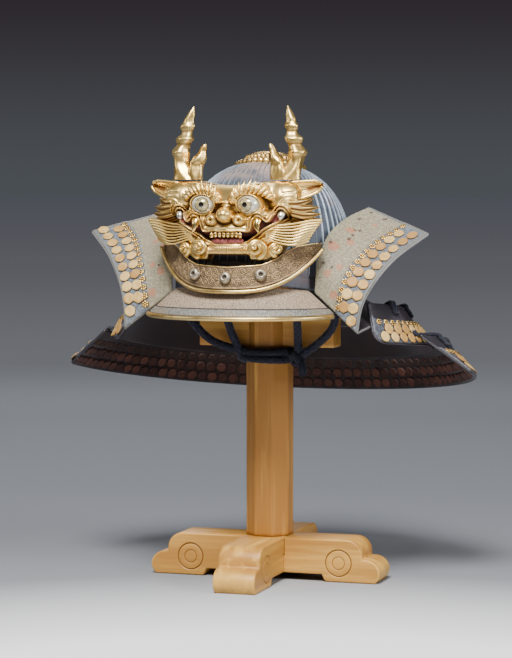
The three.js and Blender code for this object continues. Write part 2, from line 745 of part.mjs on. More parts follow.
// Moves a place across a lame, so that its middle falls where the rows of scales start.
const acrossBand = (place, start) =>
  place < 0.5 ? 2 * place * start : mix(start, 1, 2 * place - 1);

const ACROSS = [0, 0.49, 0.51, 1];

// The first lame with both wings, in one sheet: turn passes -1 and 1 where the lame turns back.
function topLameGeometry() {
  const surface = (turn, place) => {
    const along = Math.abs(turn) - 1;
    if (along <= 0) return lamePoint(LAMES[0], turn, acrossBand(place, WING_BAND.fold));
    const start = mix(WING_BAND.fold, WING_BAND.end, along);
    return wingPoint(Math.sign(turn), along, acrossBand(place, start));
  };
  const rise = (turn, place) => [0, Math.abs(turn) > 1.01 && place > 0.5 ? BAND_RISE : 0];
  const turns = [...steps(-2, -1, 8), ...steps(-1, 1, 34).slice(1, -1), ...steps(1, 2, 8)];
  return shell(turns, ACROSS, surface, SHEET, rise);
}

function lowerLameGeometry(lame) {
  const surface = (turn, place) => lamePoint(lame, turn, acrossBand(place, lame.bandFrom));
  const rise = (_, place) => [place > 0.5 ? BAND_RISE : 0, 0];
  return shell(steps(-1, 1, 38), ACROSS, surface, SHEET, rise);
}

// A lace: a flat strip from one lame, up over the next one's upper edge, to that one's plain band.
function laceGeometry(upperLame, lowerLame, angle) {
  const turn = angle / upperLame.upper.end;
  const stop = (lame, at, down, above) => {
    const across = lamePoint(lame, at + 0.01, down).sub(lamePoint(lame, at - 0.01, down)).normalize();
    const along = lamePoint(lame, at, down + 0.01).sub(lamePoint(lame, at, down - 0.01)).normalize();
    const normal = across.clone().cross(along);
    const band = down > lame.bandFrom ? BAND_RISE : 0;
    const offset = (SHEET + LACE.thickness) / 2 + GAP + band;
    const here = lamePoint(lame, at, down).addScaledVector(normal, offset);
    return { across, here: here.addScaledVector(along, -above) };
  };
  const next = angle / lowerLame.upper.end;
  const route = [
    stop(upperLame, turn, LACE.from, 0),
    stop(lowerLame, next, 0, LACE.above),
    stop(lowerLame, next, LACE.to, 0),
  ];
  const surface = (side, k) =>
    route[k].here.clone().addScaledVector(route[k].across, (side * LACE.width) / 2);
  return shell([-1, 1], [0, 1, 2], surface, LACE.thickness);
}

function makeNeckGuard() {
  const [top, middle, bottom] = LAMES;
  const pieces = [
    piece(top.name, topLameGeometry(), MATERIALS.lacquer),
    piece(middle.name, lowerLameGeometry(middle), MATERIALS.lacquer),
    piece(bottom.name, lowerLameGeometry(bottom), MATERIALS.lacquer),
  ];
  for (const [row, upper, lower] of [["upper", top, middle], ["lower", middle, bottom]])
    LACE_ANGLES[row].forEach((angle, i) =>
      pieces.push(piece(`lace_${row}_${i + 1}`, laceGeometry(upper, lower, angle), MATERIALS.cord)),
    );
  return pieces;
}

// ---- Chin cord ----
// One tied cord: four strands from inside the brim, two turns round the post, a knot and a free end.
function makeChinCord() {
  const turns = CORD_TURNS.map((z) =>
    placed(new THREE.TorusGeometry(CORD_LOOP, CORD_RADIUS, 6, 16), [0, 0, z]),
  );
  const strands = Object.values(CORD_STRANDS).map((points) => cordAlong(points, CORD_RADIUS, 5));
  const knot = placed(new THREE.SphereGeometry(KNOT.radius, 10, 6), KNOT.at);
  return piece("chin_cord", joined(...turns, knot, ...strands), MATERIALS.cord);
}

// ---- The whole object ----
const object = new THREE.Group();
const antler = antlerGeometry();
object.add(
  makeStand(),
  makeBowl(),
  ...makePeak(),
  ...makeCrescent(),
  makeHolder(),
  ...makeMask(),
  piece("antler_right_side", mirrored(antler), MATERIALS.gilt),
  piece("antler_left_side", antler, MATERIALS.gilt),
  ...makeNeckGuard(),
  makeChinCord(),
);

// The origin is under the middle of the whole object, on the floor.
const extent = new THREE.Box3().setFromObject(object);
object.position.y = -(extent.min.y + extent.max.y) / 2;

export default object;
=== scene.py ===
"""A samurai helmet on its wooden stand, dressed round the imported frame.

Every surface is worked out with numpy as a grid of two parameters or a profile carried along a
path, in millimetres, and is put into a mesh in metres.  x runs to the wearer's left, -y is the way
the mask faces, and z is the height above the floor.
"""

import bmesh
import bpy
import numpy as np
from mathutils.geometry import tessellate_polygon
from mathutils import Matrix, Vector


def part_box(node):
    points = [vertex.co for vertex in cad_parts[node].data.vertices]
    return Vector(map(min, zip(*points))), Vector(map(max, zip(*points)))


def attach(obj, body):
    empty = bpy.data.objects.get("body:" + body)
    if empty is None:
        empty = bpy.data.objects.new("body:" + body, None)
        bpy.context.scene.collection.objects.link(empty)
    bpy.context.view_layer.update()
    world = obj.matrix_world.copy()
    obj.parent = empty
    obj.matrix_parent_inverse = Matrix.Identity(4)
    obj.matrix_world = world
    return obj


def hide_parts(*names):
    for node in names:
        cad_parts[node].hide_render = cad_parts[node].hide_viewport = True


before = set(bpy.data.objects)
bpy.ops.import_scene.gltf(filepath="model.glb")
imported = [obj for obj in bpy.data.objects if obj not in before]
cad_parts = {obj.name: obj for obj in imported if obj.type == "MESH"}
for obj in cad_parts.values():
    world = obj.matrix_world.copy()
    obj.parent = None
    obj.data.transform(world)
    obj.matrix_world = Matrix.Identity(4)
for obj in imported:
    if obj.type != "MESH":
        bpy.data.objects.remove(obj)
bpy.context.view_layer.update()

MM = 0.001
PI = np.pi
rng = np.random.default_rng(12)

# ---- Driving sizes, from the frame and in millimetres -----------------------------------------


def span(node):
    """The lowest and highest corners of a node, in millimetres."""
    low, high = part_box(node)
    return np.array(low) / MM, np.array(high) / MM


POST_LOW, POST_HIGH = span("post")
POST_Y = (POST_LOW[1] + POST_HIGH[1]) / 2  # the post's axis is x = 0, y = POST_Y
POST_HALF = (POST_HIGH[0] - POST_LOW[0]) / 2
FOOT_LOW, FOOT_HIGH = span("foot_beam_sideways")

SHEET = 2.4
BAND_RISE = 1.6
TILT = np.radians(8.0)
BRIM_Z = 316.0
BOWL = dict(half_width=95.0, half_length=121.0, height=143.0, power=2.6, wall=3.0, centre_y=-18.0)
RIBS = 62
WAIST = 12.0
CROWN_HOLE = 12.0

# ---- Points and curves ------------------------------------------------------------------------


def unit(v):
    return v / np.maximum(np.linalg.norm(v, axis=-1, keepdims=True), 1e-9)


def lerp(a, b, t):
    return a + (b - a) * t


def smoothstep(low, high, x):
    t = np.clip((x - low) / (high - low), 0, 1)
    return t * t * (3 - 2 * t)


def points_at(x, y, z):
    """Points from three coordinates, spread to one shape."""
    return np.stack(np.broadcast_arrays(x, y, z), -1)


def once_round(count):
    """Angles at even steps, once round."""
    return np.linspace(0, 2 * PI, count, endpoint=False)


def net(first, second):
    """Two values over a grid, each from its start, end and count."""
    return np.meshgrid(np.linspace(*first), np.linspace(*second), indexing="ij")


def length_along(path):
    return np.concatenate([[0], np.cumsum(np.linalg.norm(np.diff(path, axis=0), axis=1))])


def hermite(t, start, slope, end, end_slope):
    """The cubic through two places with a slope at each, as t goes from 0 to 1."""
    t2, t3 = t * t, t * t * t
    rise = (2 * t3 - 3 * t2 + 1) * start + (t3 - 2 * t2 + t) * slope
    return rise + (3 * t2 - 2 * t3) * end + (t3 - t2) * end_slope


def smooth_path(points, count):
    """A Catmull-Rom curve through points, spaced evenly along its length."""
    points = np.asarray(points, float)
    before = np.vstack([2 * points[0] - points[1], points[:-1]])
    after = np.vstack([points[1:], 2 * points[-1] - points[-2]])
    slope = ((after - before) / 2)[:, None]
    t = np.linspace(0, 1, 24, endpoint=False)[None, :, None]
    curve = hermite(t, points[:-1, None], slope[:-1], points[1:, None], slope[1:])
    curve = np.vstack([curve.reshape(-1, points.shape[1]), points[-1:]])
    run = length_along(curve)
    want = np.linspace(0, run[-1], count)
    return np.stack([np.interp(want, run, values) for values in curve.T], -1)


def square_on(grid):
    """The unit normals of a grid of points: the cross product of its two directions."""
    return unit(np.cross(np.gradient(grid, axis=0), np.gradient(grid, axis=1)))


# ---- Meshes from arrays -----------------------------------------------------------------------


def grid_faces(columns, rows, around=False, closed_rows=False):
    """Quads over a grid stored column by column; around and closed_rows join the far edges."""
    i = np.arange(columns if around else columns - 1)
    j = np.arange(rows if closed_rows else rows - 1)
    i, j = np.meshgrid(i, j, indexing="ij")
    ahead, above = ((i + 1) % columns) * rows, (j + 1) % rows
    return np.stack([i * rows + j, ahead + j, ahead + above, i * rows + above], -1).reshape(-1, 4)


def grid_edge(columns, rows):
    """The points round the edge of such a grid, in order."""
    i, j = np.arange(columns), np.arange(rows)
    last = (columns - 1) * rows
    return np.concatenate([i * rows, last + j[1:], i[::-1][1:] * rows + rows - 1, j[::-1][1:-1]])


def fan(ring, tip):
    """Triangles from a closed ring of points to one point."""
    return np.stack([np.roll(ring, -1), ring, np.full(len(ring), tip)], -1)


class Shape:
    """Points and faces, with named values at each point, that can be added together."""

    def __init__(self, points, faces, **values):
        self.points = np.asarray(points, float).reshape(-1, 3)
        self.faces = [faces] if isinstance(faces, np.ndarray) else list(faces)
        size = (len(self.points),)
        self.values = {key: np.broadcast_to(np.ravel(v), size) for key, v in values.items()}

    def __add__(self, other):
        return all_of([self, other])

    def value(self, key):
        return self.values.get(key, np.zeros(len(self.points)))


def all_of(shapes):
    """One shape from many; a value that one of them lacks is 0 there."""
    starts = np.cumsum([0] + [len(s.points) for s in shapes])
    faces = [f + start for s, start in zip(shapes, starts) for f in s.faces]
    keys = set().union(*(s.values for s in shapes))
    values = {key: np.concatenate([s.value(key) for s in shapes]) for key in keys}
    return Shape(np.vstack([s.points for s in shapes]), faces, **values)


def mirror_x(shape):
    """The same shape on the other side of the middle plane, with its faces turned to match."""
    return Shape(shape.points * [-1, 1, 1], [f[:, ::-1] for f in shape.faces], **shape.values)


def piece(name, shape, material, nodes, outward=False):
    """A Blender object from a shape, riding on the root, standing for the given nodes."""
    mesh = bpy.data.meshes.new(name)
    corners = np.concatenate([f.ravel() for f in shape.faces]).astype(np.int32)
    sizes = np.concatenate([np.full(len(f), f.shape[1]) for f in shape.faces]).astype(np.int32)
    mesh.vertices.add(len(shape.points))
    mesh.vertices.foreach_set("co", (shape.points * MM).astype(np.float32).ravel())
    mesh.loops.add(len(corners))
    mesh.loops.foreach_set("vertex_index", corners)
    mesh.polygons.add(len(sizes))
    mesh.polygons.foreach_set("loop_start", (np.cumsum(sizes) - sizes).astype(np.int32))
    mesh.update(calc_edges=True)
    for key, value in shape.values.items():
        layer = mesh.attributes.new(key, "FLOAT", "POINT")
        layer.data.foreach_set("value", np.asarray(value, np.float32))
    mesh.validate()
    made = bpy.data.objects.new(name, mesh)
    bpy.context.scene.collection.objects.link(made)
    if outward:
        face_outwards(mesh)
    mesh.polygons.foreach_set("use_smooth", np.full(len(mesh.polygons), True))
    mesh.materials.append(material)
    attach(made, "root")
    if nodes:
        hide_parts(*nodes)
    return made


def face_outwards(mesh):
    """Turns every closed part of a mesh the right way round."""
    work = bmesh.new()
    work.from_mesh(mesh)
    bmesh.ops.recalc_face_normals(work, faces=work.faces)
    work.to_mesh(mesh)
    work.free()


def sheet(middle, thickness, front=0.0, back=0.0, **values):
    """A closed sheet about a grid: each side is half the thickness off along the normal."""
    normal = square_on(middle)
    outer = middle + normal * (thickness / 2 + np.asarray(front)[..., None])
    inner = middle - normal * (thickness / 2 + np.asarray(back)[..., None])
    size = middle.shape[:2]
    count = size[0] * size[1]
    top = grid_faces(*size)
    loop = grid_edge(*size)
    after = np.roll(loop, -1)
    edge = np.stack([after, loop, loop + count, after + count], -1)
    both = {key: np.tile(np.broadcast_to(v, size).ravel(), 2) for key, v in values.items()}
    both["inside"] = np.repeat([0.0, 1.0], count)
    return Shape(np.stack([outer, inner]), [top, top[:, ::-1] + count, edge], **both)


def along_path(path, closed=False):
    """The unit tangents of a path and two directions square to it that don't twist suddenly."""
    ahead, behind = np.roll(path, -1, 0), np.roll(path, 1, 0)
    tangent = unit(ahead - behind if closed else np.gradient(path, axis=0))
    side = np.zeros_like(path)
    start = np.array([0.0, 0, 1]) if abs(tangent[0][2]) < 0.9 else np.array([1.0, 0, 0])
    current = unit(np.cross(tangent[0], start))
    for k, t in enumerate(tangent):
        current = unit(current - t * (current @ t))
        side[k] = current
    return side, np.cross(tangent, side)


def swept(path, side, up, wide, thick, sides, closed=False, flutes=0, depth=0.0, **values):
    """An oval section carried along a path on two given directions, its radius cut by flutes, with
    a point closing either end."""
    turn = once_round(sides)
    sizes = [np.broadcast_to(np.asarray(v, float), (len(path),)) for v in (wide, thick, depth)]
    wide, thick, cut = (size[:, None, None] for size in sizes)
    wave = 1 - cut * (0.5 - 0.5 * np.cos(turn * flutes))[None, :, None]
    across = wide * np.cos(turn)[None, :, None] * side[:, None]
    around = across + thick * np.sin(turn)[None, :, None] * up[:, None]
    points = (path[:, None] + around * wave).reshape(-1, 3)
    run = np.repeat(length_along(path), sides)
    spin = np.tile(turn / (2 * PI), len(path))
    # How far down a flute, which the gold paints as shade.
    hollow = (1 - wave).ravel() / max(np.max(depth), 1e-6)
    faces = [grid_faces(len(path), sides, around=closed, closed_rows=True)[:, ::-1]]
    if not closed:
        faces += caps(len(path), sides)
        points = np.vstack([points, path[0], path[-1]])
        run = np.append(run, [0, run[-1]])
        spin, hollow = np.append(spin, [0, 0]), np.append(hollow, [0, 0])
    return Shape(points, faces, run=run, spin=spin, hollow=hollow, **values)


def caps(rings, sides):
    """Fans that close the first and last of many rings on the two points after them."""
    ring, count = np.arange(sides), rings * sides
    return [fan(ring, count), fan(ring + count - sides, count + 1)[:, [1, 0, 2]]]


def tube(path, radius, sides, closed=False, **values):
    """A round section carried along a path."""
    return swept(path, *along_path(path, closed), radius, radius, sides, closed, **values)


# ---- Shader maths -----------------------------------------------------------------------------


class Value:
    """A shader socket; arithmetic on it adds Math nodes."""

    def __init__(self, paint, socket):
        self.paint, self.socket = paint, socket

    def math(self, operation, *terms):
        return self.paint.node("ShaderNodeMath", {"operation": operation}, dict(enumerate(terms)))

    def sine(self):
        return self.math("SINE", self)

    def size(self):
        return self.math("ABSOLUTE", self)

    def doublings(self):
        """Its logarithm to the base 2."""
        return self.math("LOGARITHM", self, 2.0)

    def most(self, other):
        return self.math("MAXIMUM", self, other)

    def rise(self, low, high, start=0.0, end=1.0):
        """A smooth step from start to end as this goes from low to high."""
        sockets = {0: self, 1: low, 2: high, 3: start, 4: end}
        return self.paint.node("ShaderNodeMapRange", {"interpolation_type": "SMOOTHSTEP"}, sockets)


SIGNS = {"add": "ADD", "sub": "SUBTRACT", "mul": "MULTIPLY", "truediv": "DIVIDE", "pow": "POWER"}
for word, sign in SIGNS.items():
    setattr(Value, f"__{word}__", lambda self, other, sign=sign: self.math(sign, self, other))
    setattr(Value, f"__r{word}__", lambda self, other, sign=sign: self.math(sign, other, self))


class Nodes:
    """A node tree, and one method that adds any node to it."""

    def __init__(self, tree):
        self.tree = tree

    def node(self, kind, settings, sockets, output=0):
        """Adds a node, sets its settings, then gives its sockets their values or links."""
        made = self.tree.nodes.new(kind)
        stops = settings.pop("stops", [])
        for key, value in settings.items():
            setattr(made, key, value)
        for _ in stops[2:]:
            made.color_ramp.elements.new(1.0)
        for k, (where, colour) in enumerate(stops):
            made.color_ramp.elements[k].position = where
            made.color_ramp.elements[k].color = (*colour, 1.0)
        for key, value in sockets.items():
            self.feed(made.inputs[key], value)
        return Value(self, made.outputs[output])

    def feed(self, socket, value):
        if isinstance(value, Value):
            self.tree.links.new(value.socket, socket)
        elif isinstance(value, tuple) and len(value) == 3 and socket.type == "RGBA":
            socket.default_value = (*value, 1.0)
        else:
            socket.default_value = value

    def axis(self, which, where):
        return self.node("ShaderNodeSeparateXYZ", {}, {0: where}, which)

    def coats(self, colour, *coats):
        """A colour with others laid over it in turn, each by its own amount."""
        settings = {"data_type": "RGBA", "blend_type": "MIX"}
        for amount, other in coats:
            colour = self.node("ShaderNodeMix", dict(settings), {0: amount, 6: colour, 7: other}, 2)
        return colour


class Paint(Nodes):
    """A material's nodes round one Principled shader."""

    def __init__(self, name, **sockets):
        self.material = bpy.data.materials.new(name)
        self.material.use_nodes = True
        super().__init__(self.material.node_tree)
        self.tree.nodes.clear()
        self.shader = self.tree.nodes.new("ShaderNodeBsdfPrincipled")
        out = self.tree.nodes.new("ShaderNodeOutputMaterial")
        self.tree.links.new(self.shader.outputs[0], out.inputs[0])
        self.place = self.node("ShaderNodeTexCoord", {}, {}, "Object")
        self.set(**sockets)

    def set(self, **sockets):
        """Gives the shader's own sockets values or links; base_color means Base Color."""
        names = {socket.name.lower().replace(" ", "_"): socket for socket in self.shader.inputs}
        for key, value in sockets.items():
            self.feed(names[key], value)
        return self.material

    def noise(self, scale, detail, roughness, stretch=None):
        where = self.place
        if stretch:
            where = self.node("ShaderNodeMapping", {}, {"Vector": where, "Scale": stretch})
        sockets = {"Vector": where, "Scale": scale, "Detail": detail, "Roughness": roughness}
        return self.node("ShaderNodeTexNoise", {}, sockets)

    def value_of(self, name):
        return self.node("ShaderNodeAttribute", {"attribute_name": name}, {}, "Fac")

    def finish(self, colour, roughness, height, depth, **sockets):
        """The finished material: its bump is the height times depth, in metres."""
        bump = self.node("ShaderNodeBump", {}, {"Height": height, "Distance": depth, "Strength": 1.0})
        return self.set(base_color=colour, roughness=roughness, normal=bump, **sockets)


# ---- Finishes ---------------------------------------------------------------------------------
HONEY = (0.66, 0.345, 0.068)
HONEY_DARK = (0.38, 0.165, 0.030)
HONEY_PALE = (0.86, 0.52, 0.120)
GOLD = (0.83, 0.545, 0.16)
GOLD_PALE = (0.95, 0.715, 0.285)
# The next colour is painted shade on gold.
GOLD_SHADE = (0.17, 0.075, 0.022)
LACQUER = (0.020, 0.017, 0.021)
LACQUER_INSIDE = (0.016, 0.009, 0.011)


def wood_finish(name, stretch, tone):
    """Long fine grain: noise drawn out along the timber, with darker growth bands and pores; a low tone
    darkens it as painted shade, the ends are painted paler and the grooves darker.
    """
    paint = Paint(name, specular_ior_level=0.3, coat_roughness=0.35)
    bands = paint.noise(16, 3, 0.5, stretch)
    streak = paint.noise(120, 4, 0.6, stretch)
    pores = paint.noise(420, 2, 0.5, stretch)
    rings = ((bands * 34).sine() * 0.5 + 0.5) ** 2
    # A lower tone gives darker wood: the post's low tone is painted shade for the helmet's shadow on it.
    shade = rings * 0.22 + streak * 0.55 + tone * 0.5 - 0.17
    colour = paint.coats(
        HONEY_DARK,
        (shade.rise(0.15, 0.85), HONEY),
        (streak.rise(0.5, 0.75) * 0.5, HONEY_PALE),
        (pores.rise(0.62, 0.72) * 0.35, HONEY_DARK),
        # The ends of the feet are painted paler: partly end grain, partly a painted highlight for the
        # light on their end faces.
        (paint.value_of("end") * 0.45, HONEY_PALE),
        # Painted shade in the targets' grooves.
        (paint.value_of("groove") * 0.85, (0.16, 0.06, 0.015)),
    )
    height = streak * 0.6 + rings * 0.3 + pores * 0.3
    return paint.finish(
        colour, 0.36 + streak * 0.16, height, 0.00022, coat_weight=0.10 + rings * 0.05
    )


def gold_finish(name, hollow="hollow", wear=0.5, leaf=0.30):
    """Gold that is bright on high places and painted deep red-brown where the hollow value is high:
    painted shade in the hollows.
    """
    paint = Paint(name, metallic=1.0, coat_roughness=0.15)
    deep = paint.value_of(hollow)
    cloud = paint.noise(60, 4, 0.6)
    grain = paint.noise(900, 3, 0.6)
    colour = paint.coats(
        GOLD,
        (cloud.rise(0.35, 0.7), GOLD_PALE),
        ((cloud + grain * 0.25).rise(0.62, 0.82) * wear * 0.6, (0.55, 0.27, 0.09)),
        # Painted shade: deep red-brown where the hollow value is high.
        (deep.rise(0.15, 0.85), GOLD_SHADE),
    )
    rough = leaf + cloud * 0.12 + deep.rise(0.2, 0.9) * 0.3
    return paint.finish(colour, rough, grain * 0.6 + cloud * 2.0, 0.00012)


def fitting_finish(name):
    """Gilt copper fittings: a polished face with fine scratches and brown patches."""
    paint = Paint(name, metallic=1.0)
    cloud = paint.noise(90, 4, 0.6)
    scratch = paint.noise(700, 3, 0.6, (1, 1, 6))
    colour = paint.coats(
        (0.62, 0.41, 0.13),
        (cloud.rise(0.3, 0.7), (0.80, 0.60, 0.26)),
        (cloud.rise(0.6, 0.8) * 0.35, (0.34, 0.20, 0.09)),
    )
    rough = 0.22 + cloud * 0.16 + scratch * 0.08
    return paint.finish(colour, rough, scratch * 0.4 + cloud, 0.00008)


def iron_finish(name):
    """Blue-grey iron plates with paler ribs, streaks down each plate, brown at the waist and a warm
    painted highlight on the front.
    """
    paint = Paint(name, metallic=0.55, specular_ior_level=0.5)
    cloud = paint.noise(28, 5, 0.6)
    streak = paint.noise(260, 4, 0.65, (1, 1, 0.12))
    pits = paint.noise(1100, 3, 0.6)
    colour = paint.coats(
        (0.055, 0.075, 0.10),
        ((streak + cloud * 0.5).rise(0.45, 1.05), (0.14, 0.17, 0.215)),
        (cloud.rise(0.52, 0.72) * 0.6, (0.20, 0.12, 0.10)),
        (paint.value_of("down").rise(0.82, 1.0) * 0.5, (0.09, 0.08, 0.09)),
        (paint.value_of("rib") * streak.rise(0.25, 0.6, 0.35, 1.0), (0.29, 0.33, 0.37)),
        # A warm painted highlight on the front of the bowl.
        (paint.value_of("blush") * cloud.rise(0.3, 0.6), (0.52, 0.40, 0.34)),
    )
    return paint.finish(colour, 0.42 + streak * 0.2, streak * 0.5 + pits * 0.35, 0.00025)


def peak_leather_finish(name):
    """Beige speckled leather with darker stains, then a dark seam and a silvery band."""
    paint = Paint(name, specular_ior_level=0.35)
    out, inside = paint.value_of("out"), paint.value_of("inside")
    speck = paint.noise(1300, 2, 0.7)
    fibre = paint.noise(420, 4, 0.7, (2.4, 0.8, 0.8))
    cloud = paint.noise(45, 4, 0.6)
    on_band = out.rise(0.755, 0.765)
    seam = (out - 0.745).size().rise(0.008, 0.018, 1.0, 0.0)
    band = paint.coats(
        (0.125, 0.125, 0.122),
        (fibre.rise(0.4, 0.65), (0.37, 0.36, 0.295)),
        (cloud.rise(0.5, 0.62) * 0.45, (0.28, 0.22, 0.14)),
    )
    colour = paint.coats(
        (0.10, 0.065, 0.05),
        (speck.rise(0.43, 0.57), (0.44, 0.335, 0.225)),
        (fibre.rise(0.5, 0.7) * 0.5, (0.58, 0.46, 0.31)),
        (cloud.rise(0.5, 0.75) * 0.35, (0.25, 0.20, 0.19)),
        (on_band, band),
        (seam, (0.035, 0.025, 0.03)),
        (inside, LACQUER_INSIDE),
    )
    rough = 0.6 + speck * 0.15 - on_band * 0.2
    height = speck * 0.6 + fibre * 0.5 - seam
    return paint.finish(colour, rough, height, 0.0003, metallic=on_band * (1 - inside) * 0.35)


def wing_leather_finish(name):
    """Stencilled pale leather: fine hatching, red blossoms and small dark flowers, then the grey-blue
    ground of the border, and free edges painted pale as a painted highlight; the other side is black
    lacquer."""
    paint = Paint(name, specular_ior_level=0.35)
    dot, edge, backside = (paint.value_of(value) for value in ("dot", "edge", "backside"))
    hatch = paint.noise(900, 3, 0.75, (1, 1, 2.4))
    fibre = paint.noise(380, 4, 0.7)
    cloud = paint.noise(36, 4, 0.6)
    ground = paint.coats((0.09, 0.105, 0.12), (fibre.rise(0.4, 0.65), (0.20, 0.22, 0.24)))
    back = paint.coats(LACQUER, (cloud.rise(0.4, 0.7), (0.06, 0.045, 0.05)))
    colour = paint.coats(
        (0.088, 0.072, 0.046),
        (hatch.rise(0.36, 0.62), (0.355, 0.315, 0.21)),
        (fibre.rise(0.45, 0.7) * 0.55, (0.48, 0.43, 0.29)),
        (cloud.rise(0.5, 0.8) * 0.4, (0.22, 0.19, 0.16)),
        (paint.value_of("blossom") * (0.5 + hatch * 0.5), (0.42, 0.15, 0.075)),
        (dot, (0.075, 0.032, 0.022)),
        (paint.value_of("band"), ground),
        # Painted highlight along the free edges.
        (edge, (0.15, 0.145, 0.13)),
        (backside, back),
    )
    rough = 0.62 - backside * 0.3 - edge * 0.2 + hatch * 0.1
    return paint.finish(colour, rough, hatch * 0.7 + fibre * 0.4 + dot, 0.00028)


def lacquer_finish(name):
    """Worn black lacquer with a purple cast outside and red-brown inside, and a rim painted pale as a
    painted highlight.
    """
    paint = Paint(name, specular_ior_level=0.5, coat_roughness=0.2)
    inside, edge = paint.value_of("inside"), paint.value_of("edge")
    cloud = paint.noise(30, 5, 0.62)
    fine = paint.noise(350, 4, 0.65)
    within = paint.coats(
        LACQUER_INSIDE,
        (cloud.rise(0.35, 0.75), (0.032, 0.016, 0.015)),
        ((cloud + fine * 0.3).rise(0.84, 0.95) * 0.4, (0.16, 0.06, 0.025)),
    )
    colour = paint.coats(
        LACQUER,
        (cloud.rise(0.4, 0.7), (0.055, 0.045, 0.060)),
        (
            paint.value_of("band"),
            paint.coats((0.04, 0.045, 0.06), (fine.rise(0.4, 0.65), (0.10, 0.11, 0.13))),
        ),
        (inside, within),
        # Painted highlight along the free edge.
        (edge * (1 - inside * 0.8), (0.15, 0.145, 0.14)),
    )
    rough = 0.30 + cloud * 0.25 + edge * 0.1
    height = fine * 0.5 + cloud * 1.2
    return paint.finish(colour, rough, height, 0.00022, coat_weight=0.35 - cloud * 0.2)


def scale_finish(name):
    """Small ochre lacquered scales: each of its own tone, dimpled, and painted dark as shade where it
    meets the ground; those inside the neck guard are red-brown."""
    paint = Paint(name, specular_ior_level=0.3)
    tone, dim = paint.value_of("tone"), paint.value_of("dim")
    grain = paint.noise(650, 4, 0.65)
    cloud = paint.noise(150, 3, 0.6)
    inner = paint.coats(
        (0.034, 0.015, 0.013), ((grain + tone * 0.3).rise(0.45, 0.8), (0.125, 0.048, 0.034))
    )
    colour = paint.coats(
        (0.44, 0.235, 0.065),
        ((grain * 0.6 + tone * 0.6).rise(0.35, 0.85), (0.60, 0.37, 0.115)),
        ((cloud + tone * 0.3).rise(0.55, 0.85) * 0.8, (0.72, 0.49, 0.185)),
        (dim, inner),
        # Painted shade round the foot of each scale.
        (paint.value_of("low").rise(0.05, 0.6), (0.035, 0.022, 0.018)),
    )
    height = grain * 0.8 + cloud
    return paint.finish(colour, 0.46 + grain * 0.2, height, 0.0004, metallic=(1 - dim) * 0.12)


def silk_finish(name, pitch=2.6):
    """Braided silk: strands crossing both ways round the cord, from its length and its turn, with
    painted shade in the gaps between them.
    """
    paint = Paint(name, specular_ior_level=0.25, sheen_weight=0.15, sheen_roughness=0.4)
    run, spin = paint.value_of("run"), paint.value_of("spin")
    one = ((run / pitch + spin * 4) * (2 * PI)).sine()
    other = ((run / pitch - spin * 4) * (2 * PI)).sine()
    braid = one.most(other) * 0.5 + 0.5
    dust = paint.noise(160, 4, 0.6)
    colour = paint.coats(
        (0.004, 0.004, 0.010),
        # The gaps between strands stay dark: painted shade.
        (braid, (0.010, 0.011, 0.024)),
        (dust.rise(0.5, 0.75) * braid * 0.7, (0.028, 0.031, 0.056)),
    )
    return paint.finish(colour, 0.62 + dust * 0.15, braid + dust * 0.3, 0.0006)


def engraved_finish(name):
    """Brown copper alloy: the ground is punched and dull, the scrollwork's lines rubbed to gold."""
    paint = Paint(name, metallic=0.85)
    deep = paint.value_of("hollow")
    cloud = paint.noise(70, 4, 0.6)
    grain = paint.noise(900, 3, 0.6)
    colour = paint.coats(
        (0.17, 0.112, 0.060),
        ((cloud + grain * 0.4).rise(0.45, 0.95), (0.40, 0.28, 0.14)),
        (deep.rise(0.2, 0.9) * 0.8, (0.115, 0.075, 0.05)),
        ((grain + cloud * 0.3).rise(0.62, 0.8) * 0.6, (0.34, 0.235, 0.12)),
    )
    rough = 0.40 + cloud * 0.2 + deep * 0.12
    return paint.finish(colour, rough, grain * 1.2 + cloud - deep * 0.5, 0.0003)


def rivet_finish(name):
    """Grey-gold rivets, with painted shade in the hollow on top."""
    paint = Paint(name, metallic=0.9)
    cloud = paint.noise(200, 4, 0.6)
    colour = paint.coats(
        (0.30, 0.25, 0.18),
        (cloud.rise(0.35, 0.7), (0.58, 0.50, 0.37)),
        # Painted shade in the cup of each rivet.
        (paint.value_of("hollow") * 0.9, (0.07, 0.05, 0.04)),
    )
    return paint.finish(colour, 0.36 + cloud * 0.2, cloud, 0.0003)


def eye_finish(name):
    """An inlaid eye by distance from its middle: black pupil, brassy ring, silver-white ball."""
    paint = Paint(name, specular_ior_level=0.6, coat_weight=0.6, coat_roughness=0.05)
    out = paint.value_of("out")
    cloud = paint.noise(300, 3, 0.6)
    iris = paint.coats((0.30, 0.24, 0.10), (cloud.rise(0.35, 0.65), (0.56, 0.46, 0.22)))
    colour = paint.coats(
        (0.66, 0.63, 0.50),
        (cloud.rise(0.4, 0.7), (0.84, 0.80, 0.66)),
        (out.rise(0.66, 0.70, 1.0, 0.0), iris),
        ((out - 0.68).size().rise(0.02, 0.06, 1.0, 0.0), (0.10, 0.06, 0.025)),
        (out.rise(0.24, 0.30, 1.0, 0.0), (0.006, 0.005, 0.004)),
    )
    metal = out.rise(0.28, 0.32) * 0.35
    return paint.finish(colour, 0.14 + cloud * 0.08, cloud, 0.00005, metallic=metal)


def mouth_finish(name):
    """Red lacquer with worn patches."""
    paint = Paint(name, specular_ior_level=0.5, coat_weight=0.25, coat_roughness=0.2)
    cloud = paint.noise(180, 4, 0.6)
    colour = paint.coats((0.20, 0.035, 0.035), (cloud.rise(0.35, 0.7), (0.42, 0.10, 0.09)))
    return paint.finish(colour, 0.32 + cloud * 0.2, cloud, 0.0002)


def tusk_finish(name):
    """Silvery white metal in soft patches."""
    paint = Paint(name, metallic=0.9)
    cloud = paint.noise(160, 4, 0.6)
    colour = paint.coats((0.62, 0.58, 0.50), (cloud.rise(0.35, 0.7), (0.86, 0.84, 0.78)))
    return paint.finish(colour, 0.22 + cloud * 0.15, cloud, 0.0002)


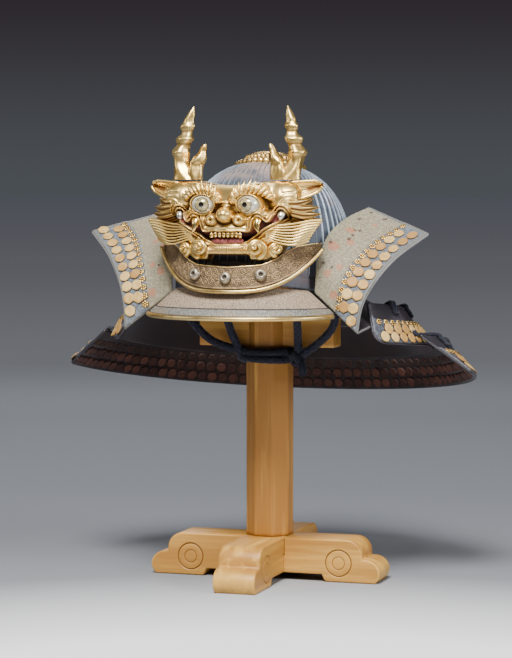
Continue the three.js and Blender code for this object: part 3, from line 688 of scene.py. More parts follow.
def mask_gold_finish(name):
    """Gilded carving: warm satin gold with brown patches, painted shade in the cuts that leaves the high
    places bright, and red lacquer in the mouth with painted shade in its depths."""
    paint = Paint(name, coat_roughness=0.2)
    deep, red = paint.value_of("hollow"), paint.value_of("red")
    cloud = paint.noise(55, 4, 0.6)
    grain = paint.noise(800, 3, 0.6)
    lacquer = paint.coats(
        (0.10, 0.018, 0.014),
        (cloud.rise(0.35, 0.7), (0.26, 0.045, 0.03)),
        # Painted shade in the deep parts of the mouth.
        (deep.rise(0.3, 0.9) * 0.7, (0.03, 0.008, 0.008)),
    )
    colour = paint.coats(
        GOLD,
        (cloud.rise(0.35, 0.7), GOLD_PALE),
        ((cloud + grain * 0.3).rise(0.68, 0.9) * 0.5, (0.60, 0.33, 0.11)),
        # Painted shade in the cuts of the carving.
        (deep.rise(0.05, 0.85), GOLD_SHADE),
        (red, lacquer),
    )
    rough = 0.30 + cloud * 0.12 + deep.rise(0.1, 0.9) * 0.3
    return paint.finish(colour, rough, grain * 0.4 + cloud * 1.6, 0.0001, metallic=1 - red)


# ---- Stand ------------------------------------------------------------------------------------
REACH, FOOT_TOP, LIFT, PAD = FOOT_HIGH[0], FOOT_HIGH[2], 8.0, 62.0
FOOT_HALF = (FOOT_HIGH[1] - FOOT_LOW[1]) / 2
ARRIS = 1.6
LAP = FOOT_TOP / 2 + LIFT / 2  # height at which the two beams are lapped over each other
LAP_GAP = 0.2
TARGETS_AT, TARGET_UP, TARGET_RADIUS = (-86.0, 86.0), 21.0, 16.6
TARGET_RINGS = (
    (0, 4, 6.2, 6.5, 6.8, 7.1, 7.4, 7.7, 10, 13.6, 13.9, 14.2, 14.6, 15.0, 15.3, TARGET_RADIUS),
    (0.2, 0.2, 0.1, 0, -0.9, -0.9, 0, 0.1, 0.3, 0.1, 0, -1.1, -1.1, -0.9, 0, 0),
)
POST_ROUND, CHAMFER = 1.6, 0.8


def arc(middle, radii, start, end, count):
    turn = np.radians(np.linspace(start, end, count))
    return np.stack([middle[0] + radii[0] * np.cos(turn), middle[1] + radii[1] * np.sin(turn)], -1)


def foot_outline(lapped_top):
    """Side view of a foot, anticlockwise: raised underside, two round lobes at the end, flat top,
    and the square notch of the lap in its top or in its underside."""
    notch = FOOT_HALF + 0.4
    under = [[REACH - PAD - 4, LIFT], [REACH - PAD - 1, 1.5], [REACH - PAD + 1, 0], [REACH - 5, 0]]
    low = arc((REACH - 17, 11), (17, 15), -32, 100, 14)
    high = arc((REACH - 37, 30), (17, FOOT_TOP - 30), -5, 90, 12)
    if lapped_top:
        half = np.vstack([under, low, high, [[notch, FOOT_TOP], [notch, LAP - LAP_GAP]]])
    else:
        half = np.vstack([[[notch, LAP + LAP_GAP], [notch, LIFT]], under, low, high])
    return np.vstack([half, half[::-1] * [-1, 1]])


def inset(outline, amount):
    """The outline moved inwards by an amount, each corner along the middle of its two normals."""
    ahead = unit(np.roll(outline, -1, 0) - outline)
    normal = np.stack([-ahead[:, 1], ahead[:, 0]], -1)
    middle = unit(normal + np.roll(normal, 1, 0))
    spread = np.clip(np.sum(middle * normal, -1, keepdims=True), 0.5, 1)
    return outline + amount * middle / spread


def target(y, side):
    """The carved target: a turned disc with two round grooves, facing along y."""
    radii, depth = (np.array(values)[:, None] for values in TARGET_RINGS)
    turn = once_round(48)
    points = points_at(radii * np.cos(turn), (y + depth) * side, radii * np.sin(turn))
    faces = grid_faces(len(radii), 48, closed_rows=True)
    # How deep the groove is, used to paint shade into it.
    groove = np.broadcast_to(np.clip(-depth, 0, 1), (len(radii), 48))
    return Shape(points, faces if side < 0 else faces[:, ::-1], end=0.0, groove=groove)


def foot_side(loop, side):
    """A flat side of a foot: its outline with two round holes, and a target in each hole."""
    ring = np.linspace(0, 2 * PI, 48, endpoint=False)
    up, y = TARGET_UP + TARGET_RADIUS * np.sin(ring), side * FOOT_HALF
    holes = [points_at(at + TARGET_RADIUS * np.cos(ring), y, up) for at in TARGETS_AT]
    rims = [loop, *holes]
    face = np.array(tessellate_polygon([[tuple(p) for p in rim] for rim in rims]))
    corners = np.vstack(rims)
    a, b, c = (corners[face[:, k]] for k in range(3))
    wrong = np.cross(b - a, c - a)[:, 1] * side < 0
    face[wrong] = face[wrong][:, ::-1]
    shapes = [Shape(corners, face, end=0.0)]
    for at in TARGETS_AT:
        disc = target(FOOT_HALF, side)
        disc.points += [at, 0, TARGET_UP]
        shapes.append(disc)
    return all_of(shapes)


def foot_beam(lapped_top):
    """The outline carried across the beam's width with round arrises, closed with flat sides that
    have two targets each."""
    outline = foot_outline(lapped_top)
    turn = np.radians([0, 30, 60, 90])
    steps = [(ARRIS * (1 - np.sin(t)), FOOT_HALF - ARRIS * (1 - np.cos(t))) for t in turn]
    sections = steps + [(a, -y) for a, y in steps[::-1]]
    loops = [np.insert(inset(outline, a), 1, y, axis=1) for a, y in sections]
    # The last few millimetres of each foot, later painted paler as a painted highlight.
    ends = np.tile(smoothstep(REACH - 8, REACH - 1, np.abs(outline[:, 0])), len(loops))
    around = grid_faces(len(loops), len(outline), closed_rows=True)
    beam = Shape(np.array(loops), around, end=ends)
    return all_of([beam, foot_side(loops[0], 1), foot_side(loops[-1], -1)])


def prism(corners, low, high, round_off):
    """An upright bar on a polygon, with rounded upright edges and a small chamfer top and bottom."""
    corners = np.asarray(corners, float)
    behind, ahead = (unit(np.roll(corners, step, 0) - corners)[:, None] for step in (1, -1))
    middle = corners[:, None]
    start, end = middle + behind * round_off, middle + ahead * round_off
    t = np.linspace(0, 1, 4)[None, :, None]
    bend = start * (1 - t) ** 2 + 2 * middle * t * (1 - t) + end * t**2
    loop = np.concatenate([start + 0.7 * behind, bend, end + 0.7 * ahead], 1).reshape(-1, 2)
    rings = [(low, CHAMFER), (low + CHAMFER, 0)]
    rings += [(z, 0) for z in np.linspace(low + 4, high - 4, 12)]
    rings += [(high - CHAMFER, 0), (high, CHAMFER)]
    loops = np.array([np.insert(inset(loop, a), 2, z, axis=1) for z, a in rings])
    cap = np.arange(len(loop))[None]
    last = (len(rings) - 1) * len(loop)
    sides = grid_faces(len(rings), len(loop), closed_rows=True)[:, ::-1]
    return Shape(loops, [sides, cap[:, ::-1], cap + last], end=0.0)


def make_stand():
    # The post and head block take a darker tone than the feet: painted shade, as the helmet shades them;
    # the feet are the lit copies.
    post_wood = wood_finish("post_wood", (1, 1, 0.045), -0.12)
    sideways_wood = wood_finish("sideways_foot_wood", (0.045, 1, 1), 0.6)
    lengthways_wood = wood_finish("lengthways_foot_wood", (1, 0.045, 1), 0.6)

    sideways, lengthways = foot_beam(True), foot_beam(False)
    lengthways.points = lengthways.points[:, [1, 0, 2]] * [-1, 1, 1]
    for shape in (sideways, lengthways):
        shape.points = shape.points + [0, POST_Y, 0]
    piece("foot_sideways", sideways, sideways_wood, ["foot_beam_sideways"])
    piece("foot_lengthways", lengthways, lengthways_wood, ["foot_beam_lengthways"])

    eighth = PI / 8
    turn = eighth + 2 * eighth * np.arange(8)
    corner = POST_HALF / np.cos(eighth)
    octagon = np.stack([corner * np.cos(turn), POST_Y + corner * np.sin(turn)], -1)
    post = prism(octagon, POST_LOW[2], POST_HIGH[2], POST_ROUND)
    piece("post_wood_shaft", post, post_wood, ["post"])

    (x0, y0, z0), (x1, y1, z1) = span("crossbar")
    bar = prism([[x0, y0], [x1, y0], [x1, y1], [x0, y1]], z0, z1, 2.0)
    piece("crossbar_wood", bar, sideways_wood, ["crossbar"])

    (_, _, base), (radius, _, top) = span("head_block")
    rounded = arc((0, base + 12), (radius, top - base - 12), 0, 90, 16)
    profile = np.vstack([[[0, base], [radius - 6, base], [radius - 1.5, base + 3]], rounded])
    turn = once_round(64)[:, None]
    out, up = profile.T
    points = points_at(out * np.cos(turn), POST_Y + out * np.sin(turn), up)
    block = Shape(points, grid_faces(64, len(profile), around=True, closed_rows=True))
    piece("head_block_wood", block, post_wood, ["head_block"])


make_stand()

# ---- Bowl and crown ---------------------------------------------------------------------------
# Rings of the crown, each a profile of radius and height off the dome: its points, how many steps
# go round, how many lobes it has, how far they swell and the radius at which they start.
CROWN_LAYERS = {
    "petals": (
        [(20, 2.0), (28, 4.6), (35, 6.4), (38.8, 6.8), (40.2, 6.0), (40.4, 3.4), (39.8, 0.6),
         (35, 0.0)],
        480, 36, 1.2, 33,
    ),
    "ring": (
        [(13, 5.0), (13, 9.4), (20, 10.4), (26.5, 11.0), (29.2, 10.6), (29.9, 9.4), (29.7, 7.0),
         (29.4, 3.6)],
        400, 36, 1.7, 25,
    ),
    "rope": (
        [(20.0, 9.6), (21.4, 11.8), (22.4, 12.4), (23.4, 11.8), (23.8, 9.6)],
        384, 48, 0.4, 21,
    ),
    "collar": (
        [(12.6, 9.6), (12.6, 13.6), (13.4, 14.4), (15, 14.8), (19, 14.9), (20.6, 14.6), (21.1, 13.8),
         (20.6, 12.9), (18.2, 12.4), (17.8, 9.6)],
        160, 0, 0, 0,
    ),
}


def stood_up(points):
    """From the bowl's own frame to the standing one: leant back by TILT, then moved into place."""
    x, y, z = points[..., 0], points[..., 1], points[..., 2]
    back = y * np.cos(TILT) + z * np.sin(TILT)
    up = -y * np.sin(TILT) + z * np.cos(TILT)
    return points_at(x, back + BOWL["centre_y"] + POST_Y, up + BRIM_Z)


def dome(angle, level, offset):
    """A superellipsoid: the width falls as cos(level) and the height rises as sin(level), each to
    the power 2 / n; offset is added to the half sizes."""
    across, up = (wave(PI / 2 * level) ** (2 / BOWL["power"]) for wave in (np.cos, np.sin))
    return points_at(
        (BOWL["half_width"] + offset) * across * np.cos(angle),
        (BOWL["half_length"] + offset) * across * np.sin(angle),
        (BOWL["height"] + offset) * up,
    )


def on_dome(x, y, rise):
    """A place above the dome."""
    across = np.hypot(x / BOWL["half_width"], y / BOWL["half_length"]) ** BOWL["power"]
    return points_at(x, y, BOWL["height"] * (1 - across) ** (1 / BOWL["power"]) + rise)


def ribbed_bowl():
    """Columns bunch at each rib, a flange of even width that stands up where plates overlap; rows
    run from the crown's hole down the outside, round the brim and up the inside."""
    half_power = BOWL["power"] / 2
    top = np.arccos((CROWN_HOLE / BOWL["half_width"]) ** half_power) * 2 / PI
    waist = np.arcsin((WAIST / BOWL["height"]) ** half_power) * 2 / PI
    rows = [np.linspace(top, waist + 0.02, 64), np.linspace(waist + 0.016, 0, 12)]
    level = np.concatenate([*rows, [0, 0], np.linspace(0, top, 16)])
    out = np.repeat([1.0, 0.0], [77, 17])
    drop = 1.2 * np.repeat([0.0, 1.0, 0.0], [76, 2, 16])

    spacing = 2 * PI / RIBS
    ring = np.cos(PI / 2 * level) ** (1 / half_power) * 108
    half = np.minimum(0.62 / np.maximum(ring * spacing, 1), 0.2)
    steps = np.array([-2.6, -1.35, -1.0, -0.45, 0.45, 1.0, 1.35, 2.6])
    local = np.vstack([np.clip(steps[:, None] * half, -0.36, 0.36), np.full(len(level), 0.5)])
    angle = ((np.arange(RIBS)[:, None, None] + local) * spacing).reshape(-1, len(level))
    height = np.tile([0.0, 0.12, 0.9, 1.0, 1.0, 0.85, 0.0, -0.12, 0.1], RIBS)[:, None]
    fade = smoothstep(waist - 0.002, waist + 0.012, level) * smoothstep(top, top - 0.02, level) * out
    wobble = 0.12 * np.sin(angle * 7 + level * 23) + 0.1 * np.sin(angle * 13 - level * 31)
    band = 1.1 * smoothstep(waist, waist - 0.004, level) * out
    offset = np.where(out > 0, (height * 1.75 + wobble) * fade + band, -BOWL["wall"])
    points = dome(angle, level, offset) - points_at(0, 0, drop)

    # A warm pale patch halfway up the bowl's front: a painted highlight.
    front = smoothstep(0.75, 0.98, np.cos(angle + PI / 2))
    blush = front * smoothstep(0.5, 0.62, level) * smoothstep(0.9, 0.8, level)
    down, inside = (np.broadcast_to(value, angle.shape) for value in (1 - level, 1 - out))
    faces = grid_faces(*angle.shape, around=True)[:, ::-1]
    loop = np.arange(len(angle)) * len(level)
    after, last = np.roll(loop, -1), len(level) - 1
    hole = np.stack([loop, after, after + last, loop + last], -1)
    rib = np.clip(height, 0, 1) * fade
    return Shape(stood_up(points), [faces, hole], rib=rib, down=down, blush=blush, inside=inside)


def crown_layer(name):
    """A turned ring on the dome, which swells with lobes or, without them, slopes down a little."""
    profile, sides, lobes, swell, start = CROWN_LAYERS[name]
    out, rise = np.array(profile, float).T
    turn = once_round(sides)[:, None]
    share = smoothstep(start, out.max(), out)
    wave = np.abs(np.cos(turn * lobes / 2)) ** 0.6 if lobes else 0 * turn
    cut = (wave - 1) * share
    radius = out + swell * cut
    points = on_dome(radius * np.cos(turn), radius * np.sin(turn), rise + 0.9 * cut)
    faces = grid_faces(sides, len(out), around=True, closed_rows=True)
    # Painted shade in the clefts between the lobes.
    hollow = np.clip(-cut * 1.3, 0, 1) * (lobes > 0)
    return Shape(stood_up(points), faces[:, ::-1], hollow=hollow)


def beads_on_crown(radius, height, count, size):
    """A ring of beads: each a dome on a square grid drawn out to a circle, a little flattened."""
    u, v = net((-1, 1, 7), (-1, 1, 7))
    x, y = u * np.sqrt(1 - v * v / 2), v * np.sqrt(1 - u * u / 2)
    ball = points_at(x, y, np.sqrt(np.clip(1 - (x * x + y * y), 0, 1))).reshape(-1, 3)
    turn = 2 * PI * np.arange(count) / count
    centres = on_dome(radius * np.cos(turn), radius * np.sin(turn), height)
    points = centres[:, None] + ball * [size, size, size * 0.8]
    starts = np.arange(count)[:, None, None] * len(ball)
    # Painted shade on the lower half of each bead.
    deep = np.tile(np.clip(1 - ball[:, 2] * 1.6, 0, 1), count)
    return Shape(stood_up(points), (grid_faces(7, 7) + starts).reshape(-1, 4), hollow=deep)


def make_bowl():
    piece("bowl_ribbed_iron", ribbed_bowl(), iron_finish("ribbed_iron"), ["bowl"])
    gold = gold_finish("crown_gold", wear=0.7)
    piece("crown_petal_plate", crown_layer("petals"), gold, ["crown_petals"])
    beads = crown_layer("ring") + beads_on_crown(27.6, 10.9, 36, 1.2) + crown_layer("rope")
    piece("crown_beads", beads, gold, ["crown_beaded_ring"])
    piece("crown_top_ring", crown_layer("collar"), gold, ["crown_collar"])


make_bowl()

# ---- Peak and crescent plate ------------------------------------------------------------------
PEAK_END, RIM_END = 79.0, 75.0
CRESCENT_HALF, SCROLL_PITCH = 88.0, 7.4
CRESCENT_HIGH = ((0, 0.4, 0.5, 0.6, 0.68, 0.78, 0.9, 1), (350, 352.5, 356, 361.5, 367.5, 372, 374, 375))
RIVET_PROFILE = (
    (6.6, 6.5, 6.2, 5.5, 4.4, 3.3, 2.5, 2.0, 1.8, 1.0, 0),
    (0, 1.2, 2.6, 4.0, 4.9, 5.2, 5.0, 4.2, 3.0, 2.6, 2.6),
)
RIVETS = {"right_side": (-0.4, 0.55), "middle": (0.0, 0.5), "left_side": (0.4, 0.55)}


def peak_surface(across, out, beyond=0.0):
    """Two arcs in front of the brim: the width goes as sin(across), the depth and height as
    1 - cos(across); out runs from the inner arc to the outer one."""
    a = np.radians(across)
    side = 1 - np.cos(a)
    inner = points_at(76 * np.sin(a), lerp(-141, -94, side), lerp(329, 323, side))
    outer = points_at(105 * np.sin(a), lerp(-171, -88, side), lerp(299, 300, side))
    point = lerp(inner, outer, np.asarray(out)[..., None]) + beyond * unit(outer - inner)
    return point + [0, POST_Y, 0]


def make_peak():
    leather = peak_leather_finish("peak_leather")
    gold = fitting_finish("peak_gilt")
    across, out = net((PEAK_END, -PEAK_END, 161), (0, 1, 41))
    step = 0.45 * smoothstep(0.735, 0.745, out) * smoothstep(0.765, 0.755, out)
    swell = 0.5 * smoothstep(0.76, 0.8, out)
    cover = sheet(peak_surface(across, out), 1.6, front=swell - 2 * step, out=out)
    piece("peak_leather_cover", cover, leather, ["peak"], outward=True)

    along = np.linspace(-RIM_END, RIM_END, 181)
    edge = peak_surface(along, np.ones_like(along), 2.9)
    rim = tube(edge, 2.5, 18)
    mid_line = peak_surface(along, np.full_like(along, 0.97))
    normal = square_on(peak_surface(*np.meshgrid(along, [0.9, 1.0], indexing="ij")))[:, 0]
    line = tube(mid_line + normal * 1.7, 0.55, 8)
    piece("peak_gilt_rim", rim + line, gold, ["peak_rim"])


def crescent_surface(across, up):
    """A plate between two power curves, bent back towards its tips."""
    a = np.abs(across)
    low = lerp(328, 371, a**3.3)
    high = np.interp(a, *CRESCENT_HIGH)
    back = lerp(-158, -103, a**2.2)
    return points_at(across * CRESCENT_HALF, back + 5 * up + POST_Y, lerp(low, high, up))


def scroll(across, up):
    """Leafy scrollwork along the plate: spiral lines about centres that step from side to side, with
    small curls between them; 1 where the ground is cut away."""
    x, y = across * CRESCENT_HALF, (up - 0.5) * 21
    line = np.zeros_like(x)
    for k in range(-12, 13):
        for row in (-1, 1):
            dx, dy = x - (k + 0.25 * row) * SCROLL_PITCH, y - row * 5.0
            radius = np.hypot(dx, dy)
            phase = (radius / 1.9 - np.arctan2(dy, dx * row) / (2 * PI)) % 1.0
            curl = smoothstep(0.32, 0.16, np.abs(phase - 0.5)) * smoothstep(4.6, 3.9, radius)
            line = np.maximum(line, curl)
        dx = x - (k + 0.5) * SCROLL_PITCH
        lobe = 1.9 + 0.7 * np.cos(3 * np.arctan2(y, dx))
        leaf = smoothstep(0.45, 0.15, np.abs(np.hypot(dx, y * 1.4) - lobe))
        line = np.maximum(line, leaf)
    return 1 - line


def rivet(across, up):
    """A dome with a hollow in its top, turned about the plate's normal there."""
    first = unit(crescent_surface(across + 0.01, up) - crescent_surface(across - 0.01, up))
    rise = crescent_surface(across, 1.0) - crescent_surface(across, 0.0)
    normal = unit(np.cross(first, rise))
    second = np.cross(normal, first)
    radius, height = (np.array(values)[:, None] for values in RIVET_PROFILE)
    turn = once_round(36)[:, None, None]
    ring = np.cos(turn) * first + np.sin(turn) * second
    points = crescent_surface(across, up) + 2.0 * normal + radius * ring + height * normal
    # How far into the cup, used for painted shade.
    hollow = np.broadcast_to(smoothstep(2.6, 1.8, radius[:, 0]), (36, len(radius)))
    return Shape(points, grid_faces(36, len(radius), around=True), hollow=hollow)


def make_crescent():
    engraved = engraved_finish("crescent_engraving")
    gold = fitting_finish("crescent_gilt")
    grey_gold = rivet_finish("rivet_metal")
    across, up = net((-1, 1, 481), (0, 1, 65))
    clear = smoothstep(0, 0.09, up) * smoothstep(1, 0.93, up) * smoothstep(1, 0.96, np.abs(across))
    cut = scroll(across, up) * clear
    plate = sheet(crescent_surface(across, up), 2.3, front=-0.35 * cut, hollow=cut)
    piece("crescent_engraved", plate, engraved, ["crescent_plate"], outward=True)

    along = np.linspace(-1, 1, 201)
    low = crescent_surface(along, np.zeros_like(along))
    ahead = np.gradient(low, axis=0)
    down = unit(points_at(ahead[:, 2], 0, -ahead[:, 0]))
    rim = tube(low + down * 3.0, 2.3, 16)
    lip = tube(crescent_surface(along, np.ones_like(along)) + [0, -0.4, 0.2], 0.8, 10)
    piece("crescent_gilt_rim", rim + lip, gold, ["crescent_rim"])
    for side, place in RIVETS.items():
        name, node = f"hollow_rivet_{side}", f"rivet_{side}"
        piece(name, rivet(*place), grey_gold, [node], outward=True)


def make_crest_holder():
    """A small bowed plate behind the crescent, with a bead along its top."""
    (x0, y0, z0), (x1, y1, z1) = span("crest_holder")
    x, z = net((x0, x1, 31), (z0, z1, 21))
    plate = points_at(x, y0 + 1.5 + (y1 - y0 - 3) * (x / x1) ** 2, z)
    holder = sheet(plate, 2.6) + tube(plate[:, -1] - [0, 1.2, 0], 0.8, 8)
    lacquer = lacquer_finish("holder_lacquer")
    piece("crest_holder_plate", holder, lacquer, ["crest_holder"], outward=True)


make_peak()
make_crescent()
make_crest_holder()

# ---- Neck guard: three lames, two wings, their scales and laces --------------------------------
# Edges of a lame: half width, half lengths behind and in front, centre, the angle of its front ends
# from the back, and heights at the back, the sides and the front ends.
EDGE_TERMS = ("rx", "back", "front", "cy", "end", "z_back", "z_side", "z_front")
LAME_EDGES = {
    ("top", "upper"): (99.5, 125, 134, -19, 126, 302, 319, 322),
    ("top", "lower"): (142, 165, 224, -20, 113.7, 272, 297, 281),
    ("middle", "upper"): (151, 168, 124, -14, 119, 281, 305, 311),
    ("middle", "lower"): (178, 175, 167, 10, 126, 232, 262, 270),
    ("bottom", "upper"): (191, 174, 172, 18, 108.6, 240, 268.6, 274.7),
    ("bottom", "lower"): (231, 222, 52, -12, 93.3, 194, 234, 235.6),
}
LAMES = {key: dict(zip(EDGE_TERMS, values)) for key, values in LAME_EDGES.items()}
BANDS = {"middle": 0.42, "bottom": 0.36}  # share of the lame's depth that is plain
WING_BAND = (0.5, 0.62)  # the same at the root and at the end of a wing
WING_INNER = [(82, -92, 357), (87, -69, 383), (95, -24, 400), (108, 20, 411)]
WING_OUTER = [(134, -105, 309), (143, -94, 331), (162, -75, 358), (192, -49, 384)]
LACES = {
    "upper": ("top", "middle", (28, 54, 80, 102)),
    "lower": ("middle", "bottom", (25, 50, 75, 96)),
}
# Stops of a lace: on the upper lame or the next, how far down it, and how far out from it.
LACE_STOPS = (
    (0, 0.69, -0.6), (0, 0.72, 2.4), (0, 0.80, 2.9), (1, -0.04, 3.0), (1, 0.06, 3.1), (1, 0.2, 2.8),
    (1, 0.27, -0.4),
)
# Painted blossoms on a wing: along it, across it and radius.
RED_BLOSSOMS = (
    (0.46, 0.16, 7.0), (0.23, 0.24, 4.5), (0.68, 0.2, 6.0), (0.60, 0.34, 5.0), (0.86, 0.36, 3.5),
    (0.12, 0.42, 5.0), (0.36, 0.40, 4.0),
)
DARK_BLOSSOMS = (
    (0.71, 0.25, 2.2), (0.735, 0.30, 2.0), (0.66, 0.28, 2.0), (0.61, 0.29, 2.6), (0.82, 0.13, 3.0),
    (0.95, 0.12, 3.0), (0.955, 0.36, 3.2), (0.46, 0.085, 2.2), (0.27, 0.12, 1.6), (0.30, 0.28, 1.6),
)
# Rings of a scale and of a stud, from the ground up: radius, height and how much painted shade.
SCALE_RINGS = ((1.0, 0.98, 0.88, 0.62, 0.3), (-0.4, 0.62, 1.0, 0.93, 0.9), (1.0, 0.35, 0, 0, 0))
STUD_RINGS = (
    (1.0, 0.9, 0.68, 0.45, 0.34, 0.2), (-0.3, 0.6, 1.0, 0.65, 0.45, 0.8), (1.0, 0.3, 0, 0.6, 1.0, 0.3)
)
# Rows along a lame: what they are of, the ends, how far down between the band's start and the lower
# edge, a distance beyond that, pitch, phase and size.
WING_ROWS = (
    ("scale", (1.03, 1.985), 0.36, 0, 13.6, 0.25, 6.5),
    ("scale", (1.03, 1.985), 0.74, 0, 13.6, -0.25, 6.5),
    ("stud", (1.03, 1.985), 0, 0.055, 9.4, 0, 4.2),
)
OUTER_ROWS = (
    ("scale", (-0.992, 0.992), 0.42, 0, 14.6, 0.25, 6.6),
    ("scale", (-0.992, 0.992), 0.78, 0, 14.6, -0.25, 6.6),
    ("stud", (-0.99, 0.99), 0.14, 0, 10.5, 0, 4.0),
)
INNER_ROWS = (
    ("scale", (-0.985, 0.985), 0.57, 0, 12.9, 0.25, 6.3),
    ("scale", (-0.985, 0.985), 0.84, 0, 12.9, -0.25, 6.3),
    ("low stud", (-0.98, 0.98), 0.33, 0, 12.9, 0, 5.0),
)


def edge_point(edge, angle):
    """Half an ellipse behind the centre and part of another in front of it; the height follows
    1 - cos(angle) behind and a straight line in front."""
    a = np.radians(angle)
    front = np.abs(angle) > 90
    ahead = (np.abs(angle) - 90) / (edge["end"] - 90)
    z_behind = lerp(edge["z_back"], edge["z_side"], 1 - np.cos(a))
    z_ahead = lerp(edge["z_side"], edge["z_front"], ahead)
    depth = np.where(front, edge["front"], edge["back"])
    y = edge["cy"] + depth * np.cos(a) + POST_Y
    return points_at(edge["rx"] * np.sin(a), y, np.where(front, z_ahead, z_behind))


def lame_point(name, turn, down):
    """Straight across from the upper edge to the lower one; turn is -1 to 1 between the ends."""
    edges = (LAMES[name, which] for which in ("upper", "lower"))
    upper, lower = (edge_point(edge, turn * edge["end"]) for edge in edges)
    return lerp(upper, lower, np.asarray(down)[..., None])


def through(points, t):
    """A centripetal Catmull-Rom curve: each span's slopes are weighed by the square roots of the
    distances between its points; t runs from 0 to 1 over equal spans."""
    points = np.asarray(points, float)
    points = np.vstack([2 * points[0] - points[1], points, 2 * points[-1] - points[-2]])
    place = np.clip(t, 0, 1) * (len(points) - 3)
    k = np.minimum(place.astype(int), len(points) - 4)
    a, b, c, d = (points[k + n] for n in range(4))
    roots = (np.sqrt(np.linalg.norm(q - p, axis=-1, keepdims=True)) for p, q in ((a, b), (b, c), (c, d)))
    ab, bc, cd = roots
    slope_b = ((b - a) / ab - (c - a) / (ab + bc) + (c - b) / bc) * bc
    slope_c = ((c - b) / bc - (d - b) / (bc + cd) + (d - c) / cd) * bc
    return hermite((place - k)[..., None], b, slope_b, c, slope_c)


def wing_point(side, along, down):
    """Straight across between two curves that start at the ends of the lame's fold."""
    starts = lame_point("top", np.array([1.0, 1.0]), np.array([0.0, 1.0]))
    shift = [0, POST_Y, 0]
    lines = zip(starts, (WING_INNER, WING_OUTER))
    inner, outer = (through([start, *(np.array(line) + shift)], along) for start, line in lines)
    return lerp(inner, outer, np.asarray(down)[..., None]) * [side, 1, 1]


def top_surface(turn, down):
    """The first lame, carried on past turn = -1 and 1 as the wings."""
    along = np.abs(turn) - 1
    flat = lame_point("top", np.clip(turn, -1, 1), down)
    wing = wing_point(1, np.maximum(along, 0), down)
    wing[..., 0] *= np.where(turn < 0, -1.0, 1.0)
    return np.where((along > 0)[..., None], wing, flat)


def middle_surface(turn, down):
    """The second lame, whose lower front corners are cut to quarter rounds."""
    t = np.clip((np.abs(turn) - 0.955) / 0.045, 0, 1)
    return lame_point("middle", turn, down * (1 - 0.3 * (1 - np.sqrt(1 - 0.98 * t * t))))


def bottom_surface(turn, down):
    return lame_point("bottom", turn, down)


SURFACES = {"top": top_surface, "middle": middle_surface, "bottom": bottom_surface}


def evenly(surface, ends, down, pitch, phase):
    """Frames at even steps along a line of a surface: where, along, across and normal."""
    turn = np.linspace(*ends, 900)
    run = length_along(surface(turn, down(turn)))
    count = max(2, int(round(run[-1] / pitch)))
    step = run[-1] / count
    want = (np.arange(count) + 0.5 + phase) * step
    want = want[want < run[-1] - step * 0.35]
    t = np.interp(want, run, turn)
    d = down(t)
    ahead = unit(surface(t + 0.004, d) - surface(t - 0.004, d))
    below = surface(t, np.minimum(d + 0.02, 1)) - surface(t, d - 0.02)
    normal = unit(np.cross(ahead, below))
    return surface(t, d), ahead, np.cross(normal, ahead), normal


def set_out(small, frames, size, lift, flip, dim):
    """Copies of one small shape set on frames, each a little turned and of its own tone."""
    here, ahead, below, normal = frames
    count = len(here)
    lean = rng.normal(0, 0.05, (count, 1))
    scale = size * rng.uniform(0.95, 1.05, (count, 1))
    first = (ahead * np.cos(lean) + below * np.sin(lean)) * scale
    second = (below * np.cos(lean) - ahead * np.sin(lean)) * scale * flip
    third = normal * flip
    p = small.points
    points = (here + third * lift)[:, None]
    for k, way in enumerate((first, second, third)):
        points = points + p[None, :, k, None] * way[:, None]
    starts = np.arange(count)[:, None, None] * len(p)
    faces = [(f[None] + starts).reshape(-1, f.shape[1]) for f in small.faces]
    tone = np.repeat(rng.uniform(0, 1, count), len(p))
    return Shape(points, faces, tone=tone, low=np.tile(small.values["low"], count), dim=dim)


def small_dome(turn, radius, height, low, tip, tip_low):
    """Rings of points closed with a point on the axis."""
    points = points_at(radius * np.cos(turn), radius * np.sin(turn), height)
    rings, count = points.shape[:2]
    points = np.vstack([points.reshape(-1, 3), [0, 0, tip]])
    sides = grid_faces(rings, count, closed_rows=True)[:, ::-1]
    top = fan((rings - 1) * count + np.arange(count), rings * count)[:, [1, 0, 2]]
    # low: how much painted shade each ring gets.
    low = np.broadcast_to(low, (rings, count)).ravel()
    return Shape(points, [sides, top], low=np.append(low, tip_low))


def scale_tile():
    """A lacquered scale of unit radius: a rounded hexagon with a soft edge and a shallow dimple."""
    turn, part = once_round(12), PI / 3
    flat = np.cos(part / 2) / np.cos((turn % part) - part / 2)
    radii, level, low = (np.array(ring)[:, None] for ring in SCALE_RINGS)
    return small_dome(turn, radii * (0.55 * flat + 0.45), level * 1.9, low, 0.9 * 1.9, 0.0)


def stud(height):
    """A stud like a flower: six petals round a ring and a small boss, with painted shade in the ring's
    dip, between the petals and at the foot.
    """
    turn = once_round(24)
    gap = 1 - np.abs(np.cos(turn * 3))
    radii, level, low = (np.array(ring)[:, None] for ring in STUD_RINGS)
    level = level * (1 - 0.35 * gap * (radii > 0.4)) * height
    # Painted shade between the petals.
    low = np.clip(low + 0.6 * gap, 0, 1)
    return small_dome(turn, radii * (1 - 0.16 * gap), level, low, 0.9 * height, 0.2)


SMALL_SHAPES = {"scale": scale_tile(), "stud": stud(1.9), "low stud": stud(1.5)}


def band_start(name, turn):
    """Where a lame's band starts, as a share of its depth."""
    if name == "top":
        return lerp(*WING_BAND, np.abs(turn) - 1)
    return np.full_like(turn, BANDS[name])


def rows_on(name, rows, side=1, flip=1.0, inside=False):
    """Rows of scales and studs on a lame, each with what it is of."""
    made = []
    for kind, ends, share, beyond, pitch, phase, size in rows:

        def line(turn):
            start = 0 * turn if inside else band_start(name, turn)
            return lerp(start, 1.0, share) + beyond

        frames = evenly(SURFACES[name], sorted(side * end for end in ends), line, pitch, phase)
        lift = SHEET / 2 + (0 if inside else BAND_RISE - 0.2 * (kind == "stud"))
        small = SMALL_SHAPES[kind]
        made.append((kind, set_out(small, frames, size, lift, flip, float(inside))))
    return made


